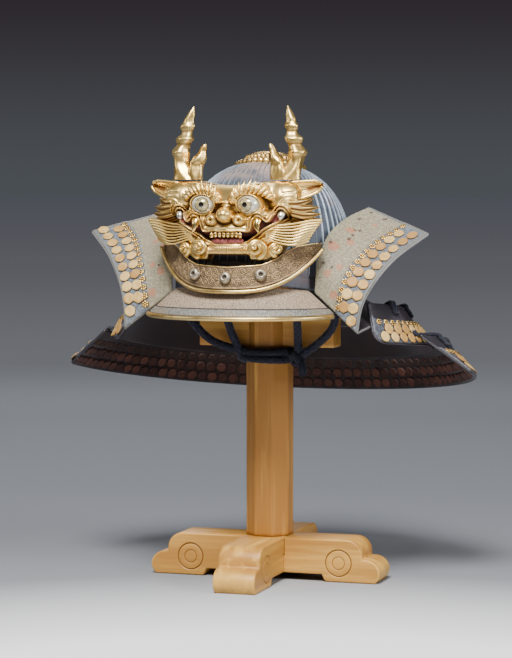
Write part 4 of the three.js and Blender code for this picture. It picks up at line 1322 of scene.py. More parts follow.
def lame_sheet(name, turns, rows, side):
    """A lame's own sheet: the band is raised on one side, and its free edges are painted paler as a
    painted highlight.
    """
    turn, down = np.meshgrid(turns, np.linspace(0, 1, rows), indexing="ij")
    grid = SURFACES[name](turn, down)
    if name == "top":
        near = np.abs(np.abs(turns) - 1)[1:-1] < 0.035
        for _ in range(12):
            grid[1:-1][near] = ((grid[:-2] + grid[2:] + 2 * grid[1:-1]) / 4)[near]
    start = band_start(name, np.maximum(np.abs(turn), 1))
    band = smoothstep(start - 0.012, start + 0.012, down)
    if name == "top":
        band = band * smoothstep(1.0, 1.02, np.abs(turn))
    # Painted highlight on the lower edge, strong on the wings.
    edge = smoothstep(0.965, 0.98, down) * (1.0 if name == "top" else 0.2)
    rise = {side: BAND_RISE * band}
    return grid, turn, sheet(grid, SHEET, **rise, band=band, edge=edge)


def blossoms_on(grid, turn, side, blossoms, hollow):
    """Painted flowers with five lobes and ragged edges; a hollow one has a pale middle."""
    painted = np.zeros_like(turn)
    for along, across, radius in blossoms:
        ends = np.array([along, along + 0.02])
        centre, beyond = wing_point(side, ends, np.array([across, across]))
        away = grid - centre
        distance = np.linalg.norm(away, axis=-1)
        angle = np.arctan2(away @ unit(beyond - centre), away[..., 0])
        lobe = radius * (1 + 0.22 * np.cos(5 * angle + along * 9) + 0.1 * np.cos(11 * angle))
        mask = smoothstep(lobe, lobe * 0.72, distance) * (np.abs(turn) > 1)
        if hollow:
            mask = mask * smoothstep(0, radius * 0.35, distance)
        painted = np.maximum(painted, mask)
    return painted


def top_lame():
    """The first lame and the wings in one sheet, with finer columns at the two folds."""
    wing, fold = np.linspace(1.04, 2, 90), np.linspace(0.965, 1.035, 18)
    turns = [-wing[::-1], -fold[::-1], np.linspace(-0.955, 0.955, 150), fold, wing]
    grid, turn, shape = lame_sheet("top", np.concatenate(turns), 75, "back")
    for key, blossoms, hollow in (("blossom", RED_BLOSSOMS, True), ("dot", DARK_BLOSSOMS, False)):
        both = [blossoms_on(grid, turn, side, blossoms, hollow).ravel() for side in (1, -1)]
        shape.values[key] = np.concatenate([0 * both[0], np.maximum(*both)])
    reach = np.abs(turn).ravel()
    shape.values["backside"] = np.append(np.ones(len(reach)), 1 - smoothstep(0.985, 1.0, reach))
    # Painted highlight on the wings' free ends.
    free = np.tile(smoothstep(1.975, 1.985, reach), 2)
    shape.values["edge"] = np.maximum(shape.values["edge"], free)
    return shape


def rims():
    """Rounded free edges of the lames and wings; those of the wings are painted pale as a painted
    highlight.
    """
    edges = []
    for name, end in (("middle", 1.0), ("bottom", 1.0), ("top", 2.0)):
        down, turn = np.linspace(0.03, 1, 24), np.linspace(-end, end, 360)[1:-1]
        turns = [np.full(24, -end), turn, np.full(24, end)]
        downs = [down, np.ones_like(turn), down[::-1]]
        loop = SURFACES[name](np.concatenate(turns), np.concatenate(downs))
        edges.append(tube(smooth_path(loop, 500), 1.45, 8, edge=1.0 if name == "top" else 0.0))
    return all_of(edges)


def make_lames():
    leather = wing_leather_finish("wing_leather")
    lacquer = lacquer_finish("lame_lacquer")
    scales = scale_finish("scale_lacquer")
    # The studs' painted shade comes from their low value.
    gold = gold_finish("stud_gold", hollow="low", wear=0.8)
    rim_metal = lacquer_finish("lame_rim")
    piece("lame_top_and_wings", top_lame(), leather, ["neck_lame_top"], outward=True)
    for name in ("middle", "bottom"):
        shape = lame_sheet(name, np.linspace(-1, 1, 200), 49, "front")[-1]
        piece(f"lame_{name}_lacquer", shape, lacquer, [f"neck_lame_{name}"], outward=True)

    outside = rows_on("top", WING_ROWS, -1, -1.0) + rows_on("top", WING_ROWS, 1, -1.0)
    outside += rows_on("middle", OUTER_ROWS) + rows_on("bottom", OUTER_ROWS)
    inside = rows_on("bottom", INNER_ROWS, flip=-1.0, inside=True)
    sorts = {kind: [s for k, s in outside if k == kind] for kind in ("scale", "stud")}
    piece("scales_outside", all_of(sorts["scale"]), scales, ())
    piece("scales_inside", all_of([shape for _, shape in inside]), scales, ())
    piece("studs_outside", all_of(sorts["stud"]), gold, ())
    piece("lame_rims", rims(), rim_metal, ())


def lace_pair(upper, lower, angle):
    """Two cords side by side: out through the upper lame, down to the next one's upper edge, over
    it, and in through its plain band, with a small crossed stitch where they go in."""
    path, sides = [], []
    for which, down, out in LACE_STOPS:
        name = (upper, lower)[which]
        t = angle / LAMES[name, "upper"]["end"] + np.array([0, 0.01, -0.01, 0, 0])
        d = down + np.array([0, 0, 0, 0.01, -0.01])
        here, after, before, below, above = lame_point(name, t, d)
        ahead = unit(after - before)
        step = BAND_RISE if name != "top" and down > BANDS[name] else 0.0
        path.append(here + unit(np.cross(ahead, below - above)) * (out + step))
        sides.append(ahead)
    path, sides = np.array(path), np.array(sides)
    pair = [tube(smooth_path(path + sides * off, 40), 2.15, 10) for off in (-2.7, 2.7)]
    before, spot, after = path[-3:]
    for reach in (-5, 5):
        start = spot - sides[-2] * reach
        end = spot + (spot - before) * 0.28 + sides[-2] * reach
        middle = (start + end) / 2 + (spot - (before + after) / 2) * 0.6
        pair.append(tube(smooth_path([start, middle, end], 12), 1.5, 8))
    return all_of(pair)


def make_laces():
    silk = silk_finish("lace_silk")
    for row, (upper, lower, half) in LACES.items():
        angles = [*(-angle for angle in half[::-1]), 0, *half]
        for k, angle in enumerate(angles):
            name = f"lace_{row}_{k + 1}"
            piece(f"silk_{name}", lace_pair(upper, lower, angle), silk, [name])


make_lames()
make_laces()

# ---- Chin cord --------------------------------------------------------------------------------
CORD_RADIUS = 4.5
CORD_LOOP = 32.5
TURN_HIGH, TURN_LOW = 253.0, 245.2
KNOT_AT, CHIN_RIGHT = (38, -22), (-27, -20, 249)
CORD_ROUTES = {
    "right_outer": [(-88, -48, 310), (-74, -44, 284), (-54, -36, 264), CHIN_RIGHT],
    "right_inner": [(-52, -88, 322), (-36, -56, 296), (-33, -34, 272), CHIN_RIGHT],
    "left_inner": [(56, -86, 322), (48, -56, 294), (42, -32, 268), (*KNOT_AT, 248)],
    "left_outer": [(90, -48, 310), (84, -38, 284), (66, -30, 265), (*KNOT_AT, 248)],
    "free_end": [(*KNOT_AT, 248), (45, -26, 238), (46, -26, 228)],
}
KNOT_TURNS = (((0, 1, 0.3), 0.2), ((1, 0.2, 0.5), 1.1), ((0.4, 0.6, -0.5), 2.0))


def round_post(start, end, height, count):
    """Points round the post between two angles in degrees, rising and falling a little."""
    turn = np.radians(np.linspace(start, end, count))
    x, y = CORD_LOOP * np.cos(turn), CORD_LOOP * np.sin(turn)
    return points_at(x, y, height + 0.8 * np.sin(turn * 2 + height))


def cord(name, points, silk):
    """A tube along points, standing for the chin cord."""
    path = smooth_path(np.vstack(points), 220) + [0, POST_Y, 0]
    made = piece(name, tube(path, CORD_RADIUS, 16), silk, ["chin_cord"])
    path[0] * MM
    (path * MM).tolist()


def make_cord():
    silk = silk_finish("chin_cord_silk", 9.0)
    turn = once_round(40)[:, None]
    rings = []
    for axis, lean in KNOT_TURNS:
        axis = unit(np.array(axis, float))
        first = unit(np.cross(axis, [0.3, 0.2, 1.0]))
        second = np.cross(axis, first)
        ring = 5.6 * (np.cos(turn) * first + np.sin(turn) * second) + axis * lean
        rings.append(tube(ring + [KNOT_AT[0], KNOT_AT[1] + POST_Y, 246], 4.1, 12, closed=True))
    knot = piece("chin_cord_knot", all_of(rings), silk, ["chin_cord"])
    for name, height, tied in (("outer", TURN_HIGH, [knot]), ("inner", TURN_LOW, ())):
        down, up = CORD_ROUTES[f"right_{name}"][:-1], CORD_ROUTES[f"left_{name}"][::-1]
        route = [down, round_post(222, 318, height, 9), up]
        cord(f"chin_cord_{name}", route, silk)
    cord("chin_cord_behind", round_post(-32, 222, TURN_HIGH, 22), silk)
    last_turn = round_post(222, -32, TURN_LOW, 21)
    cord("chin_cord_end", [last_turn, CORD_ROUTES["free_end"]], silk)


make_cord()

# ---- Mask: a carved beast's face, its eyes and antlers ------------------------------------------
# Heights are how far the face stands out towards -y from the plane y = FACE_Y.  Most features are
# given once, for x > 0, and repeated on the other side.
FACE_Y = -150.0 + POST_Y
FACE_OUTLINE = ((357, 366, 378, 395, 415, 432, 441), (38, 52, 58, 68, 76, 74, 70))
EYE_AT, EYE_HALF = (25.3, 416.6), (12.2, 9.9)
BROW = ((9.0, 421.5), (11.5, 425.6), (17, 428.6), (25, 430.2), (33, 429.8), (40, 427.6), (46, 423.6))
LIP = (
    (0, 388.6), (7, 388.0), (14, 388.4), (21, 387.6), (25.6, 388.2), (28.0, 392.0), (29.4, 398.0),
    (32.0, 402.8), (36.0, 403.8), (39.6, 400.8), (43.4, 398.0), (47.2, 400.0), (50.0, 405.5),
    (53.8, 410.9), (58.2, 411.2), (61.0, 407.2), (60.6, 402.2),
)
JAW = (
    (0, 375.4), (9, 375.6), (17, 377.0), (25, 380.8), (33, 386.4), (40, 391.4), (48, 395.6),
    (55, 399.2), (60.6, 402.2),
)
# Rounded masses and the nose: centre, half sizes, height of the rim, height above it, softness.
MASSES = (
    ((0, 429), (42, 15), -3, 9, 3.0),
    ((57, 422), (24, 19), -26, 21, 4.0),
    ((37, 398), (19, 15), -10, 13, 3.0),
    ((0, 392), (33, 13), -3, 12, 3.0),
    ((0, 368), (27, 9), -5, 11, 3.0),
    ((41, 383), (17, 12), -19, 14, 4.0),
    ((0, 413), (17, 14), -3, 9, 3.0),
    ((24, 400), (10, 8), -2, 9.5, 2.0),
    ((66, 411.5), (9.5, 9), -26, 9, 1.5),
    ((36, 406.8), (9.0, 5.2), 0, 8.0, 1.2),
    ((0, 412.0), (6.4, 2.0), 3, 5.5, 0.5),
    ((0, 415.4), (6.4, 2.0), 3, 5.5, 0.5),
    ((0, 418.6), (6.4, 2.0), 3, 5.5, 0.5),
)
NOSE = (
    ((0, 405.6), (9.6, 9.0), 7, 14.5, 0.9),
    ((14.8, 400.6), (7.6, 7.0), 4, 12.5, 0.7),
    ((8.4, 421.2), (4.6, 4.4), 7, 6.5, 0.5),
)
# Curls of the beard: centre, eye, radius, turns, how far out they start and end, thickness, way.
CURLS = (
    ((31.4, 369.4), (31.8, 373.6), 8.9, 2.5, (3.0, 14.0), 3.7, 1),
    ((51.0, 369.0), (50.8, 371.2), 6.4, 2.1, (4.5, 12.5), 3.2, -1),
)
# Side tufts: root, tip, half width and how far out the tip is.
FLAMES = (
    ((64, 418), (86.5, 422.5), 4.6, 3.0),
    ((66, 413.5), (92, 413.6), 5.0, 1.5),
    ((66, 408.5), (94.5, 406.4), 4.8, 0.5),
    ((65, 404), (95, 400.2), 4.2, -0.5),
    ((62, 399.5), (90, 396.0), 4.0, -1.0),
)
FANG = ((34.2, -1, 403.0), (33.8, -5.0, 398), (34.6, -7.5, 391.5), (37.2, -8.0, 386.4))
PEG = ((57.6, 12.5, 409), (56.6, 9.0, 406), (55.4, 7.5, 402.6), (54.8, 9, 400.4))
# The antler's trunk and branch: a path and its radius.
TRUNK = (
    (57, -117, 442.4, 13.2), (57.6, -117, 446, 12.0), (60.5, -116, 452, 10.3), (63.6, -114.4, 460, 8.6),
    (64.6, -113.6, 466, 8.6), (65.4, -113, 471.5, 10.2), (64.2, -112.6, 475.5, 8.6),
    (61.8, -112, 479.5, 7.3), (61.2, -111.6, 483, 8.6), (60.4, -111, 486.5, 9.6), (59, -110.6, 490, 6.9),
    (58.4, -110, 493.5, 5.8), (58.8, -109.6, 497, 6.9), (58, -109, 500, 7.5), (57.6, -108.6, 503.5, 5.6),
    (57, -108, 507.5, 5.2), (55.4, -107.4, 511.5, 4.4), (54, -107, 516, 2.9), (52.4, -106, 521, 0.5),
)
BRANCH = (
    (47.5, -118.6, 442.4, 9.6), (47.2, -119, 447, 9.0), (46.6, -118.6, 453, 8.3), (45.4, -118, 458, 7.4),
    (44.2, -117.6, 462, 7.8), (42.6, -117, 466, 7.2), (40.6, -116.6, 469.5, 5.4), (39.4, -116, 473, 3.9),
    (37.8, -116, 477, 3.2), (36.6, -116, 480.4, 1.6),
)


def smooth_max(a, b, soft):
    return (a + b + np.sqrt((a - b) ** 2 + soft * soft)) / 2


def bell(x, width):
    return np.exp(-((x / width) ** 2))


def cheek_fall(x):
    """How far the face falls back towards its sides."""
    return 34 * (np.abs(x) / 76) ** 2.2


def ball_on(x, z, centre, half, base, depth):
    """Height of an ellipsoid's front half above its rim; it drops away steeply outside the rim."""
    away = ((x - centre[0]) / half[0]) ** 2 + ((z - centre[1]) / half[1]) ** 2
    return base + depth * np.sqrt(np.clip(1 - away, 0, None)) - 60 * np.clip(away - 1, 0, None)


def from_line(x, z, points):
    """Distance to the nearest stretch of a line of points, and how far along the line that is."""
    best, along, run = np.full(x.shape, 1e9), np.zeros(x.shape), 0.0
    for a, b in zip(points, points[1:]):
        step = b - a
        length = np.hypot(*step)
        dx, dz = x - a[0], z - a[1]
        t = np.clip((dx * step[0] + dz * step[1]) / max(length**2, 1e-9), 0, 1)
        far = np.hypot(dx - t * step[0], dz - t * step[1])
        along = np.where(far < best, run + t * length, along)
        best = np.minimum(far, best)
        run += length
    return best, along / run


def inside_of(x, z, points):
    """Whether places lie within a closed line, by counting the edges crossed towards +x."""
    crossed = np.zeros(x.shape, int)
    for (ax, az), (bx, bz) in zip(points, np.roll(points, -1, 0)):
        spans = (az > z) != (bz > z)
        meet = ax + (z - az) * (bx - ax) / np.where(bz == az, 1e-9, bz - az)
        crossed += spans & (x < meet)
    return crossed % 2 == 1


def mouth_distance(x, z):
    """The mouth's signed distance: positive outside its line of lip and jaw, negative inside."""
    lip, jaw = smooth_path(LIP, 90), smooth_path(JAW, 60)
    right = np.vstack([jaw, lip[::-1][1:]])
    outline = np.vstack([right, right[::-1] * [-1, 1]])
    distance = np.minimum(from_line(np.abs(x), z, lip)[0], from_line(np.abs(x), z, jaw)[0])
    return np.where(inside_of(x, z, outline), -distance, distance)


def face_height(x, z):
    """The carving, built up from rounded masses joined by smooth maxima, then ridges and cuts."""
    ax = np.abs(x)
    h = -cheek_fall(x) - 4 * smoothstep(432, 441, z)
    for *mass, soft in MASSES:
        h = smooth_max(h, ball_on(ax, z, *mass), soft)
    far, along = from_line(ax, z, smooth_path(BROW, 60))
    h = smooth_max(h, 13.5 - 13 * along - (far / 3.4) ** 2 * 5, 1.5)

    dx, dz = ax - EYE_AT[0], z - EYE_AT[1]
    eye, bag = np.hypot(dx / 11.6, dz / 9.2), np.hypot(dx / 15.4, (dz + 1) / 12.8)
    lid = 8.2 + 3.4 * smoothstep(412, 423, z)
    h = smooth_max(h, lid - 13 * ((eye - 1.13) / 0.19) ** 2, 0.8)
    h = smooth_max(h, 4.6 - 16 * ((bag - 1.05) / 0.13) ** 2 - 18 * smoothstep(412, 420, z), 0.8)
    h = lerp(1.0, h, smoothstep(0.95, 1.01, eye))

    for *mass, soft in NOSE:
        h = smooth_max(h, ball_on(ax, z, *mass), soft)
    h -= 5.5 * bell(ax - 15.4, 2.4) * bell(z - 400.6, 2.3)

    mouth = mouth_distance(x, z)
    outer = smoothstep(19, 27, ax)
    rolls = 3.2 * bell(mouth - 0.8, 1.3) + 2.6 * bell(mouth - 4.2, 1.2) - 1.4 * bell(mouth - 2.5, 0.7)
    h += smoothstep(11, 5, mouth) * (0.3 + 0.7 * outer) * rolls
    h -= lerp(9.5, 5.5, outer) * smoothstep(0.4, -1.8, mouth)
    painted_lip = 0.75 * bell(mouth - 2.5, 0.6) * smoothstep(16, 30, ax)
    red = np.maximum(smoothstep(0.2, -0.8, mouth), painted_lip)

    beard = smoothstep(26, 20, ax) * smoothstep(372.5, 370, z)
    h -= beard * 1.2 * (0.5 + 0.5 * np.cos(2 * PI * (ax + 0.012 * ax * (372 - z)) / 2.6))
    angle = np.arctan2(z - 386, ax - 30)
    comb = smoothstep(44, 52, ax) * smoothstep(398, 395, z) * smoothstep(374, 379, z)
    h -= comb * (0.5 + 0.5 * np.cos(angle * 44))
    whorl = np.hypot(ax - 66, z - 411.5)
    ring = smoothstep(14.5, 11, whorl) * smoothstep(8.6, 9.6, whorl)
    h += 0.9 * np.cos(whorl * 2 * PI / 3.6) * ring
    temple = smoothstep(54, 60, ax)
    h -= 1.2 * bell((z - 426 - 0.12 * (ax - 40)) * temple, 1.2) * temple * smoothstep(74, 68, ax)
    return h, red


def blurred(values, reach):
    """Two passes of a running mean each way, which is close to a Gaussian blur."""
    width = 2 * reach + 1
    for _ in range(4):
        total = np.cumsum(np.pad(values, ((reach, reach + 1), (0, 0)), mode="edge"), 0)
        values = ((total[width:] - total[:-width]) / width).T
    return values


def bowl_front(x, z):
    """The bowl's front surface at a place, found by halving the distance."""
    near, far = np.full(x.shape, -260.0), np.full(x.shape, BOWL["centre_y"])
    up = z - BRIM_Z
    for _ in range(18):
        y = (near + far) / 2
        back = y - BOWL["centre_y"]
        length = (back * np.cos(TILT) - up * np.sin(TILT)) / BOWL["half_length"]
        height = np.clip((back * np.sin(TILT) + up * np.cos(TILT)) / BOWL["height"], 0, None)
        across = np.hypot(x / BOWL["half_width"], length)
        inside = across ** BOWL["power"] + height ** BOWL["power"] < 1
        near, far = np.where(inside, near, y), np.where(inside, y, far)
    return near + POST_Y


def carved_face():
    """The height field on rows of even spacing, with side walls back to the bowl and a back."""
    u, t = net((-1, 1, 281), (0, 1, 157))
    low = 357.6 + 5.4 * smoothstep(0.62, 0.4, np.abs(u))
    high = 437.0 + 4.0 * smoothstep(0.12, 0.6, np.abs(u))
    z = lerp(low, high, t)
    x = u * np.interp(z, *FACE_OUTLINE)
    height, red = face_height(x, z)
    edge = np.minimum(1 - np.abs(u), np.minimum(z - low, high - z) / 60)
    height = height - 5 * smoothstep(0.035, 0, edge)
    # hollow: how far a place lies below its blurred surroundings, used as painted shade in the cuts.
    hollow = np.clip((blurred(height, 5) - height - 0.25) / 1.9, 0, 1)
    hollow = np.maximum(hollow, np.clip((blurred(height, 14) - height - 1.5) / 5, 0, 0.7))
    front = points_at(x, FACE_Y - height, z).reshape(-1, 3)

    loop = grid_edge(*x.shape)
    order, rings = [loop], []
    centre = np.array([0, 0, 400.0])
    for k, share in enumerate((1.0, 0.97, 0.65, 0.3)):
        at = lerp(centre, front[loop], share)
        behind = FACE_Y + cheek_fall(at[:, 0]) + 26
        at[:, 1] = np.minimum(bowl_front(at[:, 0], at[:, 2]) - 2.8, behind)
        rings.append(at)
        order.append(len(front) + k * len(loop) + np.arange(len(loop)))
    points = np.vstack([front, *rings, [0, rings[-1][:, 1].mean(), 400]])
    walls = [np.stack([np.roll(a, -1), a, b, np.roll(b, -1)], -1) for a, b in zip(order, order[1:])]
    faces = [grid_faces(*x.shape), *walls, fan(order[-1], len(points) - 1)]
    rest = len(points) - len(front)
    # The side walls and back get some painted shade too.
    hollow, red = np.append(hollow, np.full(rest, 0.3)), np.append(red, np.zeros(rest))
    return Shape(points, faces, hollow=hollow, red=red)


def on_face(x, z, out):
    """A place on the carved surface, moved out by an amount."""
    return np.array([x, FACE_Y - face_height(np.array([x]), np.array([z]))[0][0] - out, z])


def facing(path):
    """Two directions square to a path: across the view, and the one square to that."""
    ahead = unit(np.gradient(path, axis=0))
    broad = unit(np.cross(ahead, [0, 1, 0]))
    return broad, np.cross(ahead, broad)


def limb(path, wide, thick, sides, count, **values):
    """A tapering limb: an oval section along a smooth path, broad across the view and thin in y."""
    path = smooth_path(path, count)
    along = np.linspace(0, 1, count)
    wide, thick = (np.interp(along, np.linspace(0, 1, len(half)), half) for half in (wide, thick))
    return swept(path, *facing(path), wide, thick, sides, **values)


def both_sides(shape):
    return shape + mirror_x(shape)


def brow_spikes():
    """Flames of hair that stand off the brow, longest over the eye and leaning outwards."""
    brow = smooth_path(BROW, 100)
    shapes = []
    for layer, (count, reach, out) in enumerate(((10, 1.0, 0.4), (9, 0.74, 2.4))):
        for k in range(count):
            s = (k + 0.5 * layer + 0.3) / count
            x, z = brow[int(np.clip(s, 0, 0.99) * 99)]
            lean = np.radians(lerp(118, 12, s) + rng.uniform(-6, 6))
            swell = 6.0 * np.sin(PI * np.clip(s, 0, 1) ** 0.8)
            length = reach * (7.5 + swell + rng.uniform(-0.8, 1.0))
            way = np.array([np.cos(lean), 0, np.sin(lean)])
            bend = np.array([-way[2], 0, way[0]]) * rng.uniform(-1.6, 0.6)
            base = on_face(x, z, out)
            low = on_face(x - way[0] * 2.5, z - way[2] * 2.5, out - 0.6)
            middle = base + way * length * 0.5 + bend + [0, 0.6, 0]
            tip = base + way * length + [0, 3.2 - layer, 0]
            path = [low, base, middle, tip]
            shapes.append(limb(path, (1.3, 2.0, 1.5, 0.15), (1.3, 1.8, 1.3, 0.15), 10, 14))
    return all_of(shapes)


def curl(centre, eye, radius, turns, out, thick, way):
    """A snail's shell: a tube on a spiral that closes on its eye and climbs towards the viewer, and
    a stem behind it."""
    centre, eye = np.array(centre), np.array(eye)
    t = np.linspace(0, 1, int(46 * turns))
    angle = way * (2 * PI * turns * t) - PI / 2
    reach = radius * (1 - t) ** 0.95
    middle = lerp(centre, eye, t[:, None] ** 0.9)
    x, z = middle[:, 0] + reach * np.cos(angle), middle[:, 1] + reach * np.sin(angle)
    path = points_at(x, FACE_Y + cheek_fall(x) - lerp(*out, t), z)
    size = thick * (1 - 0.62 * t) * smoothstep(0, 0.06, t + 0.03)
    shell = swept(path, *facing(path), size, size * 1.1, 14)
    x, z = lerp(centre, eye, 0.8)
    y = FACE_Y + cheek_fall(x) - out[0]
    stem = [(x, y + 16, z), (x, y + 4, z), (x, y - out[1] + 6, z)]
    return shell + limb(stem, (radius, radius, 2.0), (radius, radius, 2.0), 24, 12)


def ear():
    """A cupped leaf: a sheet across its length whose edges curl towards the viewer."""
    s, t = net((0, 1, 60), (-1, 1, 41))
    line = smooth_path([(58, -133, 429), (69, -129, 431), (81, -124, 433.5), (94.5, -119, 437)], 60)
    wide = np.interp(s, (0, 0.3, 0.6, 0.85, 0.96, 1), (11.5, 11.0, 9.4, 7.2, 4.4, 1.4))
    lift = 3.6 * np.abs(t) ** 2.4 * smoothstep(0.05, 0.35, s)
    cup = 3.0 * smoothstep(0.1, 0.5, s) * (1 - t * t)
    offset = points_at(-0.30 * wide * t, POST_Y - lift + cup, wide * t * (1 - 0.16 * np.abs(t) ** 4))
    vein = 0.5 * np.cos(t * 22) * smoothstep(0.2, 0.5, s) * smoothstep(0.8, 0.5, np.abs(t))
    along = smoothstep(0.35, 0.65, s) * smoothstep(1, 0.9, s)
    # Painted shade along the cupped middle of the leaf.
    hollow = 0.8 * smoothstep(0.6, 0.15, np.abs(t + 0.1)) * along
    return sheet(line[:, None] + offset, 2.6, front=0.3 * vein, hollow=hollow)


def flame(root, tip, wide, out):
    """A fluted leaf that flares from the cheekbone."""
    start = on_face(*root, -1.5)
    end = np.array([tip[0], -118 + POST_Y - out, tip[1]])
    path = [start, (start + end) / 2 + [0, -4.0, -1.6], end]
    widths = (wide * 0.8, wide, wide * 0.7, 0.2)
    return limb(path, widths, (3.6, 3.4, 2.2, 0.2), 28, 40, flutes=5, depth=0.28)


def fin():
    """The combed whiskers: a fan of round ridges from the mouth's corner to a slanting end."""
    s, t = net((0, 1, 80), (0, 1, 121))
    low = smooth_path([(40, -146, 381), (54, -142, 375.5), (68, -137, 374.5), (81, -130, 377.6)], 80)
    high = smooth_path([(44, -146, 392), (58, -143, 396.5), (78, -133, 398.0), (96, -124, 400.5)], 80)
    wave = np.abs(np.sin(t * PI * 8))
    reach = smoothstep(0.55, 1.0, s) * (1 - wave) * 2.4
    bow = POST_Y + 2.5 * (2 * t - 1) ** 2 - 2.0
    offset = points_at(-reach, bow, 0.8 * np.sin(s * 7 + t * 3))
    middle = lerp(low[:, None], high[:, None], t[..., None]) + offset
    ridge = 2.3 * wave**0.7 * smoothstep(0, 0.2, s)
    # Painted shade in the grooves between the ridges.
    hollow = np.clip(1.3 - wave * 1.5, 0, 1) * smoothstep(0, 0.3, s)
    return sheet(middle, 2.4, front=ridge, back=ridge, hollow=hollow)


def teeth():
    """Small square teeth under the lip, and the long curved fangs with rounded roots."""
    shapes = []
    for x in (2.3, 6.9, 11.4, 15.6):
        top = np.array([x, FACE_Y - 5.5, 387.0 if x < 12 else 386.4])
        path = [top, top - [0, 0.6, 2.4], top - [0, 0.2, 4.6]]
        shapes.append(limb(path, (2.0, 2.15, 1.7), (2.0, 2.1, 1.4), 12, 10))
    fang = np.array(FANG) + [0, FACE_Y, 0]
    shapes.append(limb(fang, (4.2, 4.9, 3.8, 2.2, 0.3), (3.4, 3.8, 3.2, 1.9, 0.3), 18, 30))
    return both_sides(all_of(shapes))


def tusks():
    """The pale pegs under the lip's outer arches."""
    peg = np.array(PEG) + [0, FACE_Y, 0]
    return both_sides(limb(peg, (2.6, 3.8, 3.9, 1.4), (2.4, 3.4, 3.4, 1.2), 18, 20))


def tongue():
    """A broad low mound that fills the mouth's floor and dips along its middle."""
    s, t = net((-1, 1, 61), (-1, 1, 25))
    z = 377.8 + 3.0 * t * np.sqrt(np.clip(1 - s**4, 0, 1)) + 0.8 * s * s
    bulge = np.sqrt(np.clip(1 - t * t, 0, 1)) * (3.6 - 0.9 * bell(s, 0.16))
    y = FACE_Y - bulge * np.sqrt(np.clip(1 - s**6, 0, 1))
    return sheet(points_at(17.5 * s, y, z), 1.2)


def antler_limb(rows, count):
    """A knotted limb: radii swell at each knot, and long flutes twist up it."""
    line = smooth_path(rows, count)
    path = line[:, :3] + [0, POST_Y, 0]
    x, y, z = path.T[..., None]
    turn = once_round(40)
    waves = 0.08 * np.cos(3 * turn + z * 0.13) + 0.035 * np.cos(5 * turn - z * 0.21 + 1)
    radius = line[:, 3:] * (1 + waves)
    points = points_at(x + radius * np.cos(turn), y + 0.85 * radius * np.sin(turn), z)
    # Painted shade in the narrow necks between the knots.
    hollow = np.clip(blurred(line[:, 3:], 5) - line[:, 3:], 0, 1)
    hollow = np.append(np.broadcast_to(hollow, (count, 40)), [0, 0])
    faces = [grid_faces(count, 40, closed_rows=True)[:, ::-1], *caps(count, 40)]
    return Shape(np.vstack([points.reshape(-1, 3), path[0], path[-1]]), faces, hollow=hollow)


def eyeball(side, gaze):
    """An ellipsoid's front, with each point's distance from the middle of its pupil."""
    turn, tip = np.meshgrid(once_round(64), np.linspace(PI, 0, 40), indexing="ij")
    x = EYE_HALF[0] * np.sin(tip) * np.cos(turn)
    z = EYE_HALF[1] * np.sin(tip) * np.sin(turn)
    centre = np.array([side * EYE_AT[0], FACE_Y - 5, EYE_AT[1]])
    out = np.hypot(x - gaze[0], z - gaze[1]) / 10.6
    out = np.where(np.cos(tip) < 0.05, 1.5, out)
    points = points_at(x, -11.4 * np.cos(tip), z) + centre
    return Shape(points, grid_faces(64, 40, around=True), out=out)


def make_mask():
    gold = mask_gold_finish("mask_gold")
    piece("beast_face", carved_face(), gold, ["mask"])
    tufts = [all_of([curl(*row) for row in CURLS]), all_of([flame(*row) for row in FLAMES])]
    hair = all_of([brow_spikes(), *tufts, fin(), ear()])
    for name, shape in (("left_side", hair), ("right_side", mirror_x(hair))):
        piece(f"face_hair_and_ear_{name}", shape, gold, (), outward=True)
    bright, silver = gold_finish("fang_gold", wear=0.2, leaf=0.2), tusk_finish("tusk_silver")
    red = mouth_finish("tongue_lacquer")
    piece("teeth_and_fangs", teeth(), bright, (), outward=True)
    piece("tusks_pale", tusks(), silver, (), outward=True)
    piece("tongue_red", tongue(), red, (), outward=True)
    enamel = eye_finish("eye_inlay")
    antler = all_of([antler_limb(TRUNK, 170), antler_limb(BRANCH, 90)])
    for name, side, gaze in (("left_side", 1, (-1.6, -0.2)), ("right_side", -1, (1.2, -0.2))):
        ball, horn = eyeball(side, gaze), antler if side > 0 else mirror_x(antler)
        piece(f"eyeball_{name}", ball, enamel, [f"eye_{name}"], outward=True)
        piece(f"antler_carved_{name}", horn, gold, [f"antler_{name}"])


make_mask()

# ---- Floor, light and camera ------------------------------------------------------------------
# NEAR_LIGHT is the middle of a pool of light painted on the floor.
NEAR_LIGHT = (0.22, -0.72)  # the middle of the brightest floor, in metres
# Tones out from the pool's middle: bright where light is painted, dark as painted shade round the stand,
# paler again far off.
FLOOR_PAINTED_LIGHT = (
    (0.38, (0.850, 0.850, 0.858)),
    (0.55, (0.560, 0.565, 0.578)),
    (0.75, (0.230, 0.235, 0.248)),
    (1.10, (0.180, 0.188, 0.205)),
    (1.50, (0.176, 0.185, 0.203)),
    (2.60, (0.200, 0.211, 0.231)),
    (3.50, (0.280, 0.293, 0.318)),
    (4.90, (0.440, 0.454, 0.488)),
    (7.00, (0.580, 0.598, 0.636)),
    (12.0, (0.680, 0.705, 0.755)),
    (30.0, (0.640, 0.670, 0.730)),
    (60.0, (0.590, 0.630, 0.700)),
)
LIGHTS = (
    ("key", (0.25, -1.9, 2.7), 1.1, 205),
    ("right", (2.4, -0.7, 1.3), 1.0, 40),
    ("left", (-2.3, -1.0, 1.5), 0.9, 12),
    ("behind", (-0.9, 2.0, 1.6), 1.0, 14),
)


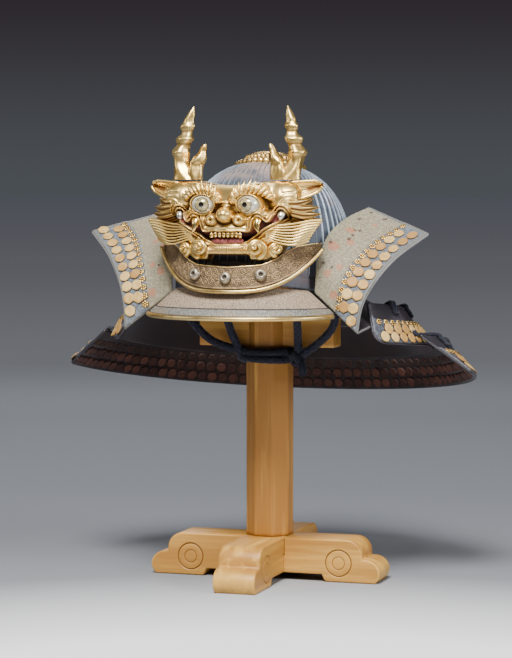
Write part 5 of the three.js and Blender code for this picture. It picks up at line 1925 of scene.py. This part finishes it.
def make_floor():
    """A pale disc, drawn out to the far distance, with a pool of light painted in its middle and painted
    shade round it, growing paler again far off.
    """
    radius = np.concatenate([[0], np.geomspace(0.2, 60.0, 40)])
    turn, radii = once_round(96), radius[:, None]
    points = points_at(radii * np.cos(turn), radii * np.sin(turn), -0.0002).reshape(-1, 3)
    mesh = bpy.data.meshes.new("floor")
    mesh.from_pydata(points, [], grid_faces(len(radius), 96, closed_rows=True).tolist())
    floor = bpy.data.objects.new("floor", mesh)
    bpy.context.scene.collection.objects.link(floor)
    paint = Paint("pale_floor", specular_ior_level=0.0, roughness=0.9)
    x, y = (paint.axis(k, paint.place) - NEAR_LIGHT[k] for k in range(2))
    away = ((x * x + y * y) ** 0.5).doublings()
    stops = [(place_on_floor(distance), tone) for distance, tone in FLOOR_PAINTED_LIGHT]
    paint.set(base_color=paint.node("ShaderNodeValToRGB", {"stops": stops}, {0: (away + 2.0) / 8.0}))
    mesh.materials.append(paint.material)


def place_on_floor(distance):
    """Where a distance falls on the floor's tones: each eighth is a doubling from 0.25 m."""
    return (np.log2(distance) + 2.0) / 8.0


def make_studio():
    """A dark room that is palest at the floor's far edge, with a soft glow from overhead."""
    world = bpy.data.worlds.new("studio")
    bpy.context.scene.world = world
    world.use_nodes = True
    sky = Nodes(world.node_tree)
    up = sky.axis(2, sky.node("ShaderNodeTexCoord", {}, {}, "Generated"))
    colour = sky.coats(
        (0.076, 0.084, 0.095),
        (up.rise(-0.01, 0.09), (0.030, 0.023, 0.030)),
        (up.rise(0.15, 0.6), (0.15, 0.15, 0.16)),
    )
    back = world.node_tree.nodes["Background"]
    sky.feed(back.inputs["Color"], colour)
    sky.feed(back.inputs["Strength"], 1.0)


def make_lights():
    for name, at, size, power in LIGHTS:
        data = bpy.data.lights.new(name, "AREA")
        data.shape = "DISK"
        data.size = size
        data.energy = power
        lamp = bpy.data.objects.new(name, data)
        lamp.location = at
        way = np.array([0, 0, 0.3]) - at
        level = np.hypot(way[0], way[1])
        lamp.rotation_euler = (np.arctan2(level, -way[2]), 0, np.arctan2(way[1], way[0]) - PI / 2)
        bpy.context.scene.collection.objects.link(lamp)


def make_camera():
    lens = bpy.data.cameras.new("camera")
    lens.lens = 130.5
    lens.sensor_width = 36
    lens.clip_end = 120
    camera = bpy.data.objects.new("camera", lens)
    camera.location = (0.7865, -2.5503, 0.441)
    camera.rotation_euler = (np.radians(90 - 3.55), 0, np.radians(17.59))
    bpy.context.scene.collection.objects.link(camera)
    bpy.context.scene.camera = camera


make_floor()
make_studio()
make_lights()
make_camera()
